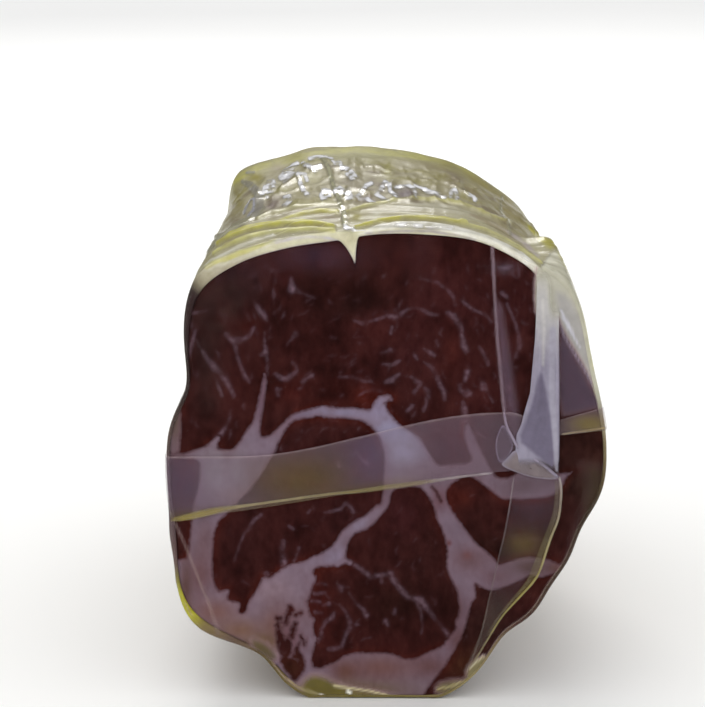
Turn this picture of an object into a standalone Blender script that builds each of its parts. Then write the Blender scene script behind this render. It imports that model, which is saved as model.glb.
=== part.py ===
"""Half a coppa, lying with its cut face to the front, in its casing and wrapped in clear film.

Metres, +Z up. The cut face looks along -Y and the uncut end lies at +Y. The origin is under the
middle of the part, on the surface that it lies on. The sizes below are in millimetres.
"""
import math

import bmesh
import bpy

MM = 0.001

# Outline of the wrapped piece at the cut face, from the face's centre.
HALF_WIDTH = 50.0
HALF_HEIGHT = 53.8
ROUNDNESS = 2.15
FLAT_DEPTH = 56.0
# Each swelling or hollow of the outline: angle in degrees from +X, height, half width in degrees.
SWELLINGS = [
    (46.0, 5.0, 13.0),
    (66.0, 2.6, 12.0),
    (90.0, 2.2, 30.0),
    (110.0, 1.2, 8.0),
    (131.0, 8.0, 15.0),
    (157.0, -2.6, 9.0),
    (216.0, 5.0, 13.0),
    (238.0, -0.8, 6.0),
    (256.0, 5.2, 14.0),
    (276.0, 1.2, 8.0),
    (283.0, 2.6, 9.0),
    (304.0, -4.2, 9.0),
    (323.0, -5.0, 14.0),
    (342.0, -3.2, 10.0),
]

# Lengths along the part, from the film's front.
LENGTH = 136.0
DOME_START = 106.0
DOME_END = 132.5
DOME_ROUNDNESS = 2.4
PLEAT_HEIGHT = 3.0
# The face's centre is this far to the right of the part's middle.
FACE_ASIDE = 0.2

# The piece gets a little narrower and lower towards its far end.
TAPER_LENGTH = 112.0
NARROWING = 0.12
SIDE_SHIFT = -2.5
TOP_DROP = -1.8
TOP_SLOPE = 0.09

# Thicknesses and gaps.
FILM = 0.35
GAP = 0.35
CASING_THIN = 0.8
CASING_THICK = 1.9
RIDGE = 0.8
FACE_DEPTH = 0.7

# Ridges of slack casing across the top, behind the cut: place along the part and half width.
RIDGES = [(4.0, 1.6), (10.5, 1.9), (18.0, 2.1), (27.0, 2.6)]

# The crease in the top, where a string lay, and the fold that runs on from it.
NOTCH_ANGLE = 97.6
NOTCH_DEPTH = 5.5
NOTCH_REACH = 60.0
SEAM = 0.6

# The film's gathered end: folds round the dome, and the tuft that closes it.
GATHER_FOLDS = 11
GATHER_HEIGHT = 0.9
TUFT = [(5.4, 0.0), (2.7, 0.9), (3.9, 2.3), (3.3, 3.5)]
TUFT_HOLE = 0.9

# Steps of the mesh: angles round the outline, rows along the body and degrees over the dome.
BASE_ANGLES = 64
RIDGED_ROWS = [2.6, 4.0, 5.6, 7.2, 8.9, 10.5, 12.3, 14.2, 16.1, 18.0, 20.2, 22.4, 24.8, 27.0, 29.6, 33.0,
               46.0, 60.0, 76.0, 92.0]
PLAIN_ROWS = [60.0, 92.0]
DOME_STEPS = [0.0, 16.0, 32.0, 48.0, 63.0, 76.0]


def clear_scene():
    for item in list(bpy.data.objects):
        bpy.data.objects.remove(item, do_unlink=True)


def smooth(value):
    value = min(max(value, 0.0), 1.0)
    return value * value * (3.0 - 2.0 * value)


def material(name, colour, roughness, alpha=1.0):
    made = bpy.data.materials.new(name)
    made.use_nodes = True
    shader = made.node_tree.nodes["Principled BSDF"]
    shader.inputs["Base Color"].default_value = (*colour, 1.0)
    shader.inputs["Roughness"].default_value = roughness
    shader.inputs["Metallic"].default_value = 0.0
    shader.inputs["Alpha"].default_value = alpha
    return made


def angle_list():
    """Even steps round the outline, with finer ones at the crease."""
    notch = [NOTCH_ANGLE + step for step in (-2.6, -1.3, 0.0, 1.3, 2.6)]
    even = [index * 360.0 / BASE_ANGLES for index in range(BASE_ANGLES)]
    kept = [angle for angle in even if abs(angle - NOTCH_ANGLE) > 4.5]
    return sorted(kept + notch)


def radius(angle):
    cos_part = abs(math.cos(math.radians(angle))) / HALF_WIDTH
    sin_part = abs(math.sin(math.radians(angle))) / HALF_HEIGHT
    value = (cos_part ** ROUNDNESS + sin_part ** ROUNDNESS) ** (-1.0 / ROUNDNESS)
    for centre, height, width in SWELLINGS:
        away = (angle - centre + 180.0) % 360.0 - 180.0
        value += height * math.exp(-(away / width) ** 2)
    return value


def top_share(angle, y):
    """1 on the top, where the casing is thick and ridged, and 0 on the sides, bottom and far end."""
    across = smooth((angle - 8.0) / 30.0) * smooth((160.0 - angle) / 26.0)
    along = 1.0 - min(max((y - 92.0) / (DOME_START - 92.0), 0.0), 1.0)
    return across * along


def notch_share(angle, beside):
    """How far the crease reaches at this angle: 1 in its middle and the given share just beside it."""
    away = abs(angle - NOTCH_ANGLE)
    if away < 0.1:
        return 1.0
    return beside if away < 1.5 else 0.0


def crest(angle, y):
    """1 on the crest of a ridge or lump of the slack casing and 0 in the valleys."""
    sway = 0.9 * math.sin(math.radians(angle) * 3.0 + 0.6)
    value = 0.0
    for place, width in RIDGES:
        value = max(value, math.exp(-((y - place - sway * place / 27.0) / width) ** 2))
    lumps = 0.5 + 0.3 * math.sin(y * 0.19 + angle * 0.11) + 0.2 * math.sin(y * 0.07 - angle * 0.23)
    far = smooth((y - 29.0) / 8.0)
    return value * (1.0 - far) + lumps * far


def seam(angle, y):
    """Height of the fold that runs along the top from the crease."""
    return SEAM * notch_share(angle, 0.35) * smooth((y - 3.0) / 6.0) * smooth((100.0 - y) / 20.0)


def place(x, y, z):
    """The part's metres for a point in front of or behind the middle of the face."""
    return ((x + FACE_ASIDE) * MM, (y - (LENGTH - PLEAT_HEIGHT) / 2.0) * MM, (z + FLAT_DEPTH) * MM)


def body_point(angle, y, inset, scale=1.0):
    """A point of the body; scale shrinks the section towards the part's axis."""
    reach = radius(angle) - inset
    x = reach * math.cos(math.radians(angle)) * scale
    z = max(reach * math.sin(math.radians(angle)), -FLAT_DEPTH + inset) * scale
    far = y / TAPER_LENGTH
    lift = min(max((z + FLAT_DEPTH) / (2.0 * FLAT_DEPTH), 0.0), 1.0)
    z += (TOP_DROP - TOP_SLOPE * x) * far * lift
    x = x * (1.0 - NARROWING * far) + SIDE_SHIFT * far
    return place(x, y, z)


def shell_rings(inset_of, rows, end_inset, angles, folds=0.0):
    """Rings of points from the front to the far end: rows first, then the domed end."""
    rings = []
    for y, extra in rows:
        rings.append([body_point(a, y, inset_of(a, y) + extra) for a in angles])
    depth = DOME_END - DOME_START - end_inset
    for step in DOME_STEPS:
        y = DOME_START + depth * math.sin(math.radians(step)) ** (2.0 / DOME_ROUNDNESS)
        scale = math.cos(math.radians(step)) ** (2.0 / DOME_ROUNDNESS)
        rise = folds * smooth((step - 20.0) / 40.0)
        ring = []
        for a in angles:
            wave = 0.5 + 0.5 * math.cos(math.radians(a) * GATHER_FOLDS)
            ring.append(body_point(a, y, inset_of(a, y) - rise * wave, scale))
        rings.append(ring)
    return rings


def round_ring(y, reach, angles):
    """A ring about the part's axis, for the film's tuft."""
    middle = body_point(0.0, y, radius(0.0))
    ring = []
    for a in angles:
        x = middle[0] + reach * MM * math.cos(math.radians(a))
        z = middle[2] + reach * MM * math.sin(math.radians(a))
        ring.append((x, middle[1], z))
    return ring


def add_loop(bm, points):
    """A closed loop of edges through the points."""
    verts = [bm.verts.new(point) for point in points]
    for first, second in zip(verts, verts[1:] + verts[:1]):
        bm.edges.new((first, second))
    return verts


def join_loops(bm, first, second):
    """A strip of faces between two loops of as many points."""
    for i in range(len(first)):
        j = (i + 1) % len(first)
        bm.faces.new((first[i], first[j], second[j], second[i]))


def add_skin(bm, rings):
    """Loops through the rings, each joined to the next."""
    loops = [add_loop(bm, ring) for ring in rings]
    for first, second in zip(loops, loops[1:]):
        join_loops(bm, first, second)
    return loops


def cap(bm, loop):
    """A flat face over a loop."""
    return [bm.faces.new(loop)]


def cap_to_pole(bm, loop, y):
    """A fan of faces from a loop to the part's axis."""
    made = bmesh.ops.poke(bm, faces=cap(bm, loop))
    made["verts"][0].co = body_point(0.0, y, radius(0.0))


def finish(bm, name, look, crisp=40.0):
    bmesh.ops.recalc_face_normals(bm, faces=bm.faces)
    mesh = bpy.data.meshes.new(name)
    bm.to_mesh(mesh)
    bm.free()
    mesh.materials.append(look)
    mesh.shade_smooth()
    mesh.set_sharp_from_angle(angle=math.radians(crisp))
    made = bpy.data.objects.new(name, mesh)
    bpy.context.scene.collection.objects.link(made)
    return made


def film_outside(angle, y):
    return (1.0 - crest(angle, y)) * RIDGE * top_share(angle, y) - seam(angle, y)


def film_inside(angle, y):
    return RIDGE * top_share(angle, y) + FILM


def casing_outside(angle, y):
    return (2.0 - crest(angle, y)) * RIDGE * top_share(angle, y) + FILM + GAP


def notch_depth(y):
    return NOTCH_DEPTH * max(0.0, 1.0 - y / NOTCH_REACH)


def casing_inside(angle, y):
    """The casing is thickest on top, and reaches down into the crease as a fin."""
    fin = max(notch_depth(y) - 0.6, 0.0) * notch_share(angle, 0.3)
    return CASING_THICK * top_share(angle, y) + FILM + GAP + CASING_THIN + fin


def meat_outside(angle, y):
    crease = notch_depth(y) * notch_share(angle, 0.6)
    return CASING_THICK * top_share(angle, y) + FILM + 2.0 * GAP + CASING_THIN + crease


def make_meat(angles, look):
    """The cured muscle and its fat: one solid, cut flat at the front and domed at the far end."""
    bm = bmesh.new()
    rows = [(FACE_DEPTH, 0.5), (FACE_DEPTH + 0.6, 0.0)] + [(y, 0.0) for y in PLAIN_ROWS]
    end_inset = FILM + 2.0 * GAP + CASING_THIN
    loops = add_skin(bm, shell_rings(meat_outside, rows, end_inset, angles))
    cap(bm, loops[0])
    cap_to_pole(bm, loops[-1], DOME_END - end_inset)
    return finish(bm, "meat", look)


def make_casing(angles, look):
    """The natural casing with the pale fat under it: a sleeve with a closed, domed far end."""
    bm = bmesh.new()
    end = FILM + GAP
    outer_rows = [(FACE_DEPTH, 0.4), (FACE_DEPTH + 0.6, 0.0)] + [(y, 0.0) for y in RIDGED_ROWS]
    outer = add_skin(bm, shell_rings(casing_outside, outer_rows, end, angles))
    inner_rows = [(FACE_DEPTH, 0.0), (FACE_DEPTH + 0.6, 0.0)] + [(y, 0.0) for y in PLAIN_ROWS]
    inner = add_skin(bm, shell_rings(casing_inside, inner_rows, end + CASING_THIN, angles))
    join_loops(bm, outer[0], inner[0])
    cap_to_pole(bm, outer[-1], DOME_END - end)
    cap_to_pole(bm, inner[-1], DOME_END - end - CASING_THIN)
    return finish(bm, "casing", look)


def make_film(angles, look):
    """Clear film, flat over the cut, tight round the body and gathered to a tuft at the far end.

    A narrow hole runs through the tuft, as it does through twisted film.
    """
    bm = bmesh.new()
    outer_rows = [(0.0, 1.1), (0.3, 0.35), (1.1, 0.0)] + [(y, 0.0) for y in RIDGED_ROWS]
    outer_rings = shell_rings(film_outside, outer_rows, 0.0, angles, GATHER_HEIGHT)
    outer_rings += [round_ring(DOME_END + y, reach, angles) for reach, y in TUFT]
    outer = add_skin(bm, outer_rings)
    inner_rows = [(FILM, 1.0), (0.6, 0.3), (1.3, 0.0)] + [(y, 0.0) for y in PLAIN_ROWS]
    inner_rings = shell_rings(film_inside, inner_rows, FILM, angles)
    inner_rings.append(round_ring(DOME_END - FILM, TUFT_HOLE, angles))
    inner_rings.append(round_ring(LENGTH - 0.3, TUFT_HOLE, angles))
    inner = add_skin(bm, inner_rings)
    cap(bm, outer[0])
    cap(bm, inner[0])
    join_loops(bm, outer[-1], inner[-1])
    return finish(bm, "film", look)


def side_x(z, side):
    """How far the wrapped outline reaches to one side at a height above the face's centre."""
    low, high = (-60.0, 60.0) if side > 0 else (240.0, 120.0)
    for _ in range(40):
        middle = (low + high) / 2.0
        if radius(middle % 360.0) * math.sin(math.radians(middle)) < z:
            low = middle
        else:
            high = middle
    return radius(middle % 360.0) * math.cos(math.radians(middle))


def band_edges(x):
    """Heights of the overlap's two edges where it crosses the face."""
    top = 3.0 + 10.4 * smooth((x + 34.0) / 60.0)
    bottom = -12.3 + 12.6 * smooth((x + 62.0) / 104.0)
    ease = smooth((x - 28.0) / 10.0)
    bottom = bottom + ease * (8.4 - bottom + 0.12 * (x - 42.0))
    top = top + ease * (12.6 - top + 0.3 * (x - 42.0))
    return top, bottom


def band_ring(x_top, x_bottom, y, edges, side, turn):
    """The overlap's four corners at one place; turn is 0 on the face and 1 on the body's side."""
    ring = []
    for layer, ends in ((GAP + 0.05, (0, 1)), (GAP + FILM + 0.05, (1, 0))):
        out = math.sin(turn * math.pi / 2.0) * layer * side
        ahead = math.cos(turn * math.pi / 2.0) * layer
        for end in ends:
            ring.append(place((x_top, x_bottom)[end] + out, y - ahead, edges[end]))
    return ring


def band_turn(side):
    """The overlap's way round one side of the body, from behind to the face."""
    edges = band_edges(side * 48.0)
    rings = []
    for inset, y, turn in ((0.0, 9.0, 1.0), (0.0, 5.0, 1.0), (0.0, 1.3, 0.9), (0.35, 0.3, 0.5)):
        x_top = side_x(edges[0], side) - side * inset
        x_bottom = side_x(edges[1], side) - side * inset
        rings.append(band_ring(x_top, x_bottom, y, edges, side, turn))
    return rings


def make_band(look):
    """The strip where the film overlaps itself, across the face and round both its edges."""
    bm = bmesh.new()
    start = side_x(band_edges(-48.0)[0], -1) + 1.1
    end = side_x(band_edges(48.0)[0], 1) - 1.1
    count = 30
    face = []
    for index in range(count + 1):
        x = start + (end - start) * index / count
        face.append(band_ring(x, x, 0.0, band_edges(x), 0, 0.0))
    loops = add_skin(bm, band_turn(-1) + face + list(reversed(band_turn(1))))
    cap(bm, loops[0])
    cap(bm, loops[-1])
    return finish(bm, "film_band", look)


def pleat_edges(z):
    """Left and right edge of the gathered pleat at a height above the face's centre."""
    down = max(0.0, -6.0 - z)
    right = 38.5 + 0.9 * smooth((46.0 - z) / 40.0) - 21.0 * (down / 42.4) ** 1.5
    left = 33.5 - 4.2 * smooth((27.0 - z) / 21.5)
    if z < 0.0:
        left = 29.3 + 0.11 * z
    return min(left, right - 2.2), right


def make_pleat(look):
    """The gathered fold of film down the right of the face, with its doubled lower part."""
    bm = bmesh.new()
    back = GAP + FILM + 0.25
    profile = ((0.0, 0.4), (0.22, 0.9), (0.45, 0.6), (0.68, 1.0), (0.86, 2.0), (1.0, 0.7))
    top, bottom = 44.5, -48.5
    count = 30
    rings = []
    for index in range(count + 1):
        z = top + (bottom - top) * index / count
        left, right = pleat_edges(z)
        flat = 1.0 - 0.55 * smooth((-4.0 - z) / 12.0)
        knot = math.exp(-((z - 4.0) / 5.0) ** 2)
        front, rear = [], []
        for share, height in profile:
            x = left + (right - left) * share
            lift = back + 0.3 + (height - 0.3) * flat + 0.35 * knot * (1.0 - share)
            front.append(place(x, -min(lift, PLEAT_HEIGHT), z))
            rear.append(place(x, -back, z))
        rings.append(front + list(reversed(rear)))
    loops = add_skin(bm, rings)
    cap(bm, loops[0])
    cap(bm, loops[-1])
    return finish(bm, "film_pleat", look)


def main():
    clear_scene()
    angles = angle_list()
    meat_look = material("cured meat", (0.085, 0.022, 0.018), 0.45)
    casing_look = material("natural casing", (0.48, 0.44, 0.24), 0.5)
    film_look = material("clear film", (0.86, 0.86, 0.82), 0.12, 0.35)
    fold_look = material("folded film", (0.55, 0.52, 0.58), 0.2, 0.55)
    pieces = [
        make_meat(angles, meat_look),
        make_casing(angles, casing_look),
        make_film(angles, film_look),
        make_band(fold_look),
        make_pleat(fold_look),
    ]
    base = bpy.data.objects.new("coppa", None)
    bpy.context.scene.collection.objects.link(base)
    for piece in pieces:
        piece.parent = base


main()
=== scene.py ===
"""Half a coppa in clear film, lying with its cut face to the front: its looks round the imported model."""

import math

import bpy
import numpy as np
from mathutils import Matrix, Vector


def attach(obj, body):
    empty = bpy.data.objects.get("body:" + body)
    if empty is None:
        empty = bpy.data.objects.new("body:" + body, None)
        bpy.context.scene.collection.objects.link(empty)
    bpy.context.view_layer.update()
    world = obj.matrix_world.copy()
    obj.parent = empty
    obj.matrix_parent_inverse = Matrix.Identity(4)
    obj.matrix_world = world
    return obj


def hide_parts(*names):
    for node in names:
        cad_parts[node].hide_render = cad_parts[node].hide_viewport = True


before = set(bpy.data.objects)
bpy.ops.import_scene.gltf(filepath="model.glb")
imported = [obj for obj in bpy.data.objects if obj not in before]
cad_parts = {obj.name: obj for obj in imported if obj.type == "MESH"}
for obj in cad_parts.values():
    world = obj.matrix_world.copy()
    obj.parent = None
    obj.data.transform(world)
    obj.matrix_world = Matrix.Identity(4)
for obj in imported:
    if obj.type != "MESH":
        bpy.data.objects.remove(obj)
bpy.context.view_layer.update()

MM = 0.001

# The body's outline and lengths in millimetres, from the middle of the cut face.
HALF_WIDTH = 50.0
HALF_HEIGHT = 53.8
ROUNDNESS = 2.15
FLAT_DEPTH = 56.0
# Each swelling or hollow of the outline: angle in degrees from +X, height, half width in degrees.
SWELLINGS = [
    (46.0, 5.0, 13.0),
    (66.0, 2.6, 12.0),
    (90.0, 2.2, 30.0),
    (110.0, 1.2, 8.0),
    (131.0, 8.0, 15.0),
    (157.0, -2.6, 9.0),
    (216.0, 5.0, 13.0),
    (238.0, -0.8, 6.0),
    (256.0, 5.2, 14.0),
    (276.0, 1.2, 8.0),
    (283.0, 2.6, 9.0),
    (304.0, -4.2, 9.0),
    (323.0, -5.0, 14.0),
    (342.0, -3.2, 10.0),
]
MIDDLE_Y = 66.5
DOME_START = 106.0
DOME_END = 132.5
DOME_ROUNDNESS = 2.4
FACE_ASIDE = 0.2
TAPER_LENGTH = 112.0
NARROWING = 0.12
SIDE_SHIFT = -2.5
TOP_DROP = -1.8
TOP_SLOPE = 0.09
FILM = 0.35
GAP = 0.35
CLING = 0.18
CASING_THIN = 0.2
CASING_THICK = 1.1
RIDGE = 0.8
FACE_DEPTH = 0.7
RIDGES = [(4.0, 1.6), (10.5, 1.9), (18.0, 2.1), (27.0, 2.6)]
# Thin raised lines on the slack casing: place along the part, half width, height, sway and its phase.
LINES = [
    (2.2, 0.7, 0.30, 0.25, 0.0),
    (5.6, 0.6, 0.45, 0.5, 1.2),
    (8.2, 0.5, 0.30, 0.8, 2.9),
    (11.3, 0.7, 0.50, 0.9, 0.4),
    (14.6, 0.5, 0.30, 1.3, 2.1),
    (18.6, 0.8, 0.50, 1.4, 5.0),
    (22.3, 0.6, 0.35, 1.8, 3.6),
    (27.2, 0.9, 0.50, 1.6, 1.0),
    (31.0, 0.6, 0.35, 1.5, 4.2),
]
NOTCH_ANGLE = 97.9
NOTCH_LEFT = 3.4
NOTCH_RIGHT = 1.9
NOTCH_DEPTH = 6.6
NOTCH_REACH = 60.0
SEAM = 0.6
GATHER_FOLDS = 11
GATHER_HEIGHT = 0.9
TUFT = [(5.4, 0.0), (2.7, 0.9), (3.9, 2.3), (3.3, 3.5), (1.3, 3.4), (0.9, 1.5)]

# The photograph's camera: its place in millimetres, its turn and tilt, and its focal length in pixels.
EYE = np.array([9.2, -555.8, 211.1])
TURN = math.radians(1.85)
TILT = math.radians(75.32)
FOCAL = 2271.5
FRAME_WIDTH = 705.0
FRAME_HEIGHT = 707.0
CAMERA_TURN = Matrix.Rotation(TILT, 4, "X") @ Matrix.Rotation(TURN, 4, "Y")

# Fat seams across the cut, as points of the photograph with the seam's width there, all in pixels.
SEAMS = [
    [(264.6, 333, 1.5), (264.5, 343, 2), (266, 351, 3.5), (267.9, 362, 1.5), (266.5, 374, 2), (265, 381, 3)],
    [(262, 354.5, 3), (266, 352, 4)],
    [(231, 410, 1.2), (229.9, 417.5, 2), (226.6, 425, 3), (221.8, 432.7, 4), (217.4, 438, 5)],
    [(201.7, 350, 1.5), (208.2, 359.7, 4), (215.8, 369.5, 5.5), (223.4, 377, 5.5), (228.8, 384.7, 4),
     (234.2, 396.6, 2.5)],
    [(226.6, 334.8, 3.5), (234, 341, 5), (242, 340.5, 4.5), (249.4, 335.8, 3), (253.8, 328.3, 3)],
    [(234.2, 342, 3), (237.5, 356.5, 2.2), (241.8, 368.4, 2.2), (245.5, 377, 3.2), (250, 383, 1.2)],
    [(254, 302, 1), (259, 309, 4), (263.5, 315, 4.5), (268, 321, 2)],
    [(291, 277, 1.5), (291.5, 284, 4.5), (292.5, 289, 7)],
    [(297, 291, 3), (305, 295, 1.8), (315, 298, 1)],
    [(273, 290, 1.5), (274, 296, 2.6)],
    [(296, 334, 4), (290, 341, 1.5), (287, 345, 1)],
    [(275.4, 373.8, 2.5), (281, 378, 3.5), (286, 379, 4.5), (292, 375, 3), (297, 371.5, 2.5), (296, 366, 2),
     (292, 362, 1.2)],
    [(303, 381.5, 3.2), (307, 378, 2), (312, 376, 3.5)],
    [(277, 389, 2.6), (278, 395, 3.2)],
    [(193, 313, 2.6), (206, 311, 1.5)],
    [(195.5, 330, 2), (193, 340, 3), (190, 349, 3.6), (188.5, 356, 3)],
    [(217, 379, 1.5), (219, 388, 2.5), (222, 396, 2)],
    [(354.5, 320.7, 1.5), (362, 323.5, 2.5), (369, 321.5, 2.2), (376, 319.6, 2.2), (387, 315.5, 2.5),
     (395.7, 317, 4.6), (401, 314, 4.2), (406, 310, 2.2), (412, 308, 1.8), (419, 308.5, 2.2), (426, 312, 3.2),
     (432, 314.5, 2.6), (438, 315, 1.2)],
    [(420, 278.5, 1.0), (431, 281, 1.6), (438, 282.7, 1.8), (447.8, 290.3, 2.2), (453.2, 296.8, 2.2),
     (455.4, 304.4, 2.5)],
    [(447.8, 313, 3.6), (455.4, 317.4, 5.2), (459.7, 325, 4.6), (461.9, 332.6, 3.2), (463, 343.5, 5.2),
     (466.2, 350, 4.6)],
    [(467.8, 368, 3.6), (467, 374, 4.4), (465, 381, 2.4)],
    [(460.5, 387, 5), (463, 391, 4.4), (467, 395, 4)],
    [(463, 402, 2), (464.5, 409, 5), (465.5, 415, 5)],
    [(465, 420, 5), (468, 428, 7), (470, 437, 7.5), (473, 446, 8), (476, 454, 10), (480, 462, 12)],
    [(477, 432, 2), (484, 437, 2.5), (492, 442, 2)],
    [(460.8, 300, 1.5), (466, 304, 2.6), (471.7, 308.8, 2.2), (480, 312.5, 1.8), (485.8, 315.3, 2.2),
     (491.2, 322, 2.6)],
    [(479.3, 347, 1.5), (484.7, 355.4, 3.2), (488, 364, 2.8)],
    [(482.5, 382, 3.5), (483, 389, 3.8)],
    [(437, 341, 2.0), (438, 346, 3.2)],
    [(424, 349, 2), (429, 352, 3.6), (434, 355, 2.8)],
    [(414, 355, 2.8), (417, 359, 2.2)],
    [(381, 352.8, 2), (390.5, 350, 3.6)],
    [(383, 364, 1.5), (391, 365, 2.5), (396, 363, 3.6), (399.5, 361, 2)],
    [(386, 382, 2.8), (392, 380, 4.6), (399, 374.5, 2.8)],
    [(392, 327, 2.2), (391, 333, 2.6)],
    [(424, 362, 1.2), (431.5, 367.3, 3), (435.9, 375, 4.6), (440, 384, 3.2), (444, 392, 3.6), (444.5, 399, 2.6)],
    [(411, 377, 2.2), (416, 381, 3.6), (421, 383.5, 2.8), (417, 389, 2.2), (414, 392.5, 3.2)],
    [(425, 388, 2.4), (428, 393, 4.6), (429, 398, 2)],
    [(407.5, 410.5, 2.8), (412, 406.5, 3.6)],
    [(426, 397, 2), (426.5, 404, 2.2), (424, 410, 2.8)],
    [(466, 388, 2), (470, 394, 3.6)],
    [(484, 384, 3), (488, 394, 1.5), (493, 402, 2)],
    [(437, 425, 2.2), (437.5, 431, 2)],
    [(356, 452, 1.0), (362, 459, 1.6), (368, 465, 2.6)],
    [(338, 462, 2.2), (339, 467, 2.8)],
    [(339, 377, 1.5), (352, 377, 1.8), (363, 381.5, 2), (373, 381.5, 1.2)],
    [(385, 394.5, 2.5), (379, 391, 2.2), (372, 389.8, 2), (365, 391.5, 1.8), (359, 396, 1.2)],
    [(309, 592, 3), (316, 594, 2.5), (325, 593, 2)],
    [(312, 601, 3), (320, 602, 2)],
    [(323, 606, 2), (329, 604, 3.5)],
    [(315, 612, 3), (322, 613, 2)],
    [(314, 584, 2.5), (321, 583, 2), (327, 585, 1.5)],
    [(285, 566, 5.5), (283, 556, 4.5), (282, 548, 4), (283.5, 541, 2.6)],
    [(293.5, 564, 3), (296, 556, 1.8), (299, 548, 2.2)],
    [(268, 578, 6), (266, 573, 3.2)],
    [(261, 515, 2.6), (254, 520, 2.8), (250, 527, 3), (244, 534, 2), (241, 542, 1.4), (237, 552, 1.4),
     (234.5, 561, 1.6)],
    [(289, 526, 1.8), (293, 529, 2.2)],
    [(308, 513, 1.8), (310, 510, 1.6)],
    [(325, 512.5, 1.4), (333, 511, 2.2), (341, 509, 2.6), (346, 503, 3), (350.5, 507, 2.6), (353.6, 512, 2.8)],
    [(350, 562.5, 4), (355.8, 565.7, 3.2), (363.4, 571, 3.6), (371, 576.5, 4),
     (378.6, 575.5, 3.2), (386, 575, 3.6), (390.5, 573.5, 4.2), (393.7, 579.8, 4.6), (400, 588.5, 4),
     (406.8, 596, 4), (413.3, 598.2, 3.6), (420.9, 600.4, 5.4), (426.3, 607, 4.4), (432.8, 615.6, 2.4),
     (439.3, 623.2, 2.4), (445.8, 631.9, 3), (449, 636, 4)],
    [(418, 603, 3.2), (421, 612, 1.6), (422.5, 625, 1.4), (421.5, 633, 1.2)],
    [(337.5, 583, 2), (341, 588, 4.6), (341.5, 590, 3.6)],
    [(349, 593, 1.4), (356, 602.5, 1.8), (363.4, 610, 2.8), (366.5, 615.5, 4)],
    [(339.5, 605, 1.4), (346, 612.5, 2.2), (349.5, 622, 3.8), (351, 627, 5), (346.5, 633, 3), (344, 640, 2.8),
     (342, 647, 2.8), (334, 649, 3.2), (328.7, 649, 2.8)],
    [(352, 626, 3.6), (358, 624, 1.8)],
    [(334, 613, 2.6), (332, 617, 3.8), (325, 622, 2.8), (321.7, 629, 2.8), (321, 637, 3.4), (315, 641, 5)],
    [(395, 609, 2.2), (394.5, 613, 2.8)],
    [(385.5, 621, 3.6), (388, 625, 2.2)],
    [(382, 582, 2.6), (381, 578, 2)],
    [(500, 268.5, 1.6), (506, 268, 2.6), (512, 266, 1.6)],
    [(519.5, 268, 2), (519, 276, 1.8)],
    [(502, 293, 3.2), (507, 297, 2.4)],
    [(507, 304, 2.2), (511, 313, 1.8), (515, 322, 2.2), (518.5, 335, 2.6), (520, 345, 4), (516, 357, 2.8)],
]
# Seams wide enough to be solid fat all through.
SOLID_SEAMS = [
    [(264.8, 374, 0.5), (264.5, 382, 3.4), (263, 392, 5.2), (261, 404.5, 6), (258.5, 414.5, 6.6),
     (256, 425, 8.4), (253, 433, 13), (252, 438, 18)],
    [(218, 438, 4), (213, 445, 8)],
    [(371, 419, 12), (376.5, 412, 11), (378, 405, 9), (381.5, 400, 8.5), (387.5, 397.5, 5.5), (391, 399, 3)],
    [(338, 564, 6), (344, 560.5, 5), (350, 563, 4)],
    [(170, 396, 8), (174, 412, 14), (173, 430, 16), (174, 448, 12)],
]

# Outlines of the muscles on the cut, as points of the photograph in pixels. All between them is fat.
UPPER_MUSCLE = [
    (150, 215), (560, 215), (640, 290), (640, 455), (585, 470), (566, 474), (540, 472), (520, 471), (513, 477),
    (497, 478.5), (491, 469), (484, 457), (479, 447), (474, 436), (469, 424), (466, 424), (464, 436), (467.5, 447),
    (471.5, 456), (471, 463), (456, 464.5), (446, 465.5), (438.5, 465.3), (434, 461), (429.8, 454.4),
    (424.4, 445.7), (420, 438), (412.4, 432.7), (406, 428.4), (400.5, 425.7), (395, 420.8), (391, 415), (387, 410),
    (386, 404), (376, 404), (374, 408), (371, 410.5), (362.5, 409.4), (351.7, 407.8), (331.8, 407.8), (325, 405.6),
    (318.8, 406.7), (310, 409.4), (302.6, 411), (295, 413.2), (288.5, 417.5), (284, 423), (277.6, 428.4),
    (270, 436), (262.4, 438), (260, 434), (257, 424), (252, 427), (247.2, 432.7), (240.7, 441.4), (234.2, 449),
    (226.6, 450), (217.4, 449), (216.3, 444), (211.5, 444), (201.7, 447.9), (192, 451), (180, 454.4), (150, 450),
]
LEFT_MUSCLE = [
    (291, 421.5), (300, 418.5), (310, 417.7), (318, 415.2), (326, 417.5), (346, 417.7), (357, 419.2), (366, 422.4),
    (371, 426), (375.6, 431.6), (380, 439), (383, 448), (384.8, 456.6), (384.2, 466.3), (383, 480), (383.4, 490.8),
    (382.4, 497.4), (381.8, 502.8), (376.4, 506), (369.9, 511.5), (365.6, 515.8), (358, 519), (347, 526.6),
    (340.6, 533), (336.3, 540.7), (330.8, 547.2), (322, 553.7), (311, 557), (307, 560), (301, 562), (290, 564),
    (283, 568.4), (275.5, 573.7), (269, 578), (263, 577), (260.8, 583), (256.6, 589.5), (252, 597), (249, 603),
    (247, 610.5), (244, 614), (237.6, 611.6), (240.8, 605), (236.6, 601), (232, 601), (227, 597), (230, 589.5),
    (224, 590.5), (219.7, 592.6), (216.6, 588.4), (213.4, 582), (211.8, 573.7), (212.4, 559), (212.9, 542),
    (215.5, 529.5), (218.7, 520), (228, 513), (238, 502), (249, 491), (258, 480), (267, 465), (275, 452),
    (279, 441), (285, 430),
]
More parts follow.
